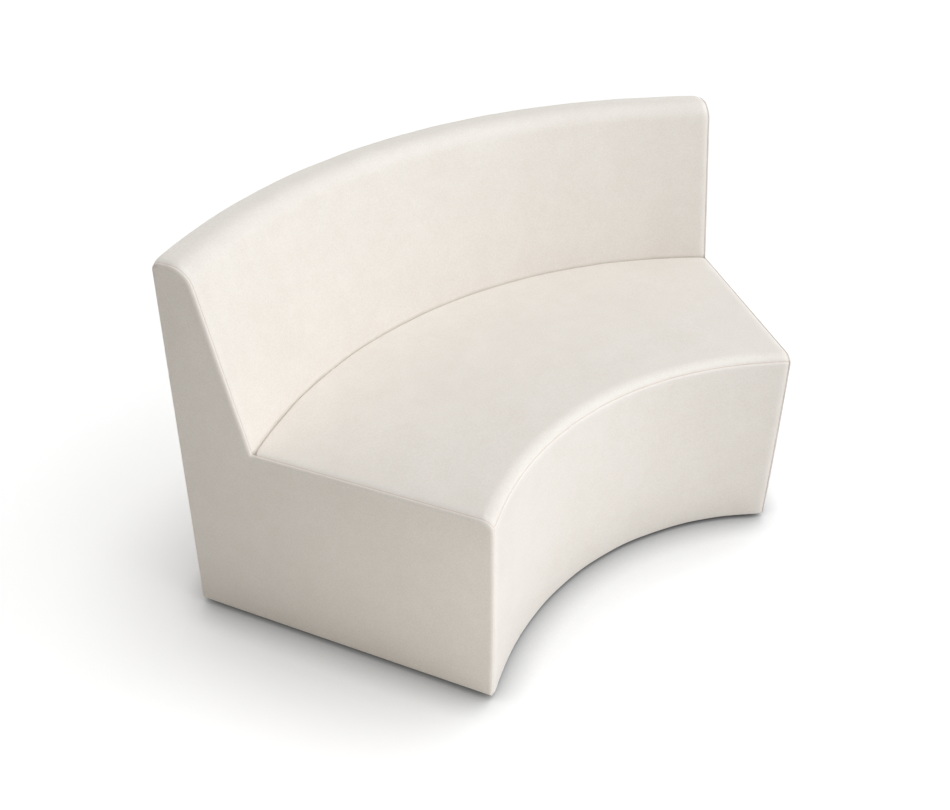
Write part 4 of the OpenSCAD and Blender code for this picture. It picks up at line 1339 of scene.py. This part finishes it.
# %% [markdown]
# ## Plywood and timber
# The carcass is carried over from the CAD model and only needs its wood. Plywood shows grain on its
# faces and thin stripes of plies on its edges, so the finish looks at which way a face is turned
# and picks one of the two. A rib stands at its own angle in plan, so its finish is turned to match.

# %% Wood finishes
def plywood(name, slot="plywood", turn_deg=0.0, upright=False, ply=0.0014, tint=1.0):
    """Birch plywood: face grain where a face looks along the plies' axis, stripes elsewhere."""
    f = Finish(name, slot, roughness=0.62, specular_ior_level=0.3)
    where = f.place(turn_deg=turn_deg)
    facing = f.node("ShaderNodeMapping", {"vector_type": "NORMAL"},
                    {"Vector": f.node("ShaderNodeNewGeometry", out=1),
                     "Rotation": (0.0, 0.0, math.radians(turn_deg))})
    along = "Y" if upright else "Z"
    on_face = f.axis(facing, along).math("ABSOLUTE").step(0.55, 0.8)
    warp = f.noise(where, 6.0, 2.0, 0.5)
    grain = f.noise(f.place(turn_deg=turn_deg, stretch=(3.0, 60.0, 60.0)), 3.2, 5.0, 0.65, 0.6)
    pore = f.noise(f.place(turn_deg=turn_deg, stretch=(8.0, 260.0, 260.0)), 5.0, 3.0, 0.6)
    layer = (f.axis(where, along) * (math.tau / ply) + warp * 1.5).math("SINE").step(-0.35, 0.35)
    light = [c * tint for c in (0.80, 0.64, 0.44)]
    dark = [c * tint for c in (0.62, 0.45, 0.27)]
    face = f.blend(grain.step(0.30, 0.72), dark, light)
    face = f.blend(pore.step(0.62, 0.74) * 0.35, face, (0.36, 0.24, 0.14))
    edge = f.blend(layer, (0.44, 0.29, 0.16), light)
    edge = f.blend(pore.step(0.55, 0.75) * 0.4, edge, (0.30, 0.20, 0.12))
    colour = f.blend(on_face, edge, face)
    f.feed(base_color=colour, roughness=0.55 + grain * 0.18,
           normal=f.bump(grain * 0.4 + layer * (1 - on_face) * 0.3 + pore * 0.3, 0.0003))
    return f


def softwood(name):
    """Sawn softwood: growth rings as warped bands, knots as dark dots, and saw marks."""
    f = Finish(name, "timber", roughness=0.75, specular_ior_level=0.25)
    where = f.place()
    warp = f.noise(where, 4.0, 3.0, 0.5)
    rings = (f.axis(where, "Z") * 950.0 + f.axis(where, "X") * 320.0 + warp * 26.0).math("SINE")
    saw = f.noise(f.place(stretch=(1.0, 1.0, 40.0)), 60.0, 2.0, 0.5)
    colour = f.blend(rings.step(-0.5, 0.9), (0.76, 0.58, 0.36), (0.56, 0.37, 0.20))
    colour = f.blend(f.pebbles(where, 14.0).step(0.06, 0.12), (0.26, 0.15, 0.08), colour)
    f.feed(base_color=colour, roughness=0.68 + saw * 0.2,
           normal=f.bump(rings * 0.2 + saw * 0.5, 0.0004))
    return f


board_finish = plywood("birch_board")
skin_finish = plywood("bending_plywood", "bending_plywood", ply=0.0012, tint=1.06)
timber_finish = softwood("softwood_blocks")
carried = {"bottom_board": board_finish, "seat_deck": board_finish, "front_former": board_finish,
           "back_mid_formers": board_finish, "back_top_former": board_finish,
           "front_skin": skin_finish, "inside_back_skin": skin_finish,
           "outside_back_skin": skin_finish, "corner_blocks": timber_finish,
           "deck_screws": zinc_finish, "tee_nuts": zinc_finish}
for name, share in (("rib_end_left", -1.0), ("rib_inner_left", -0.5), ("rib_centre", 0.0),
                    ("rib_inner_right", 0.5), ("rib_end_right", 1.0)):
    carried[name] = plywood(name + "_birch", turn_deg=share * END_DEG - 90.0, upright=True)
for name, finish in carried.items():
    nodes[name].data.materials.clear()
    nodes[name].data.materials.append(finish.material)
print("finishes on", len(carried), "CAD nodes")
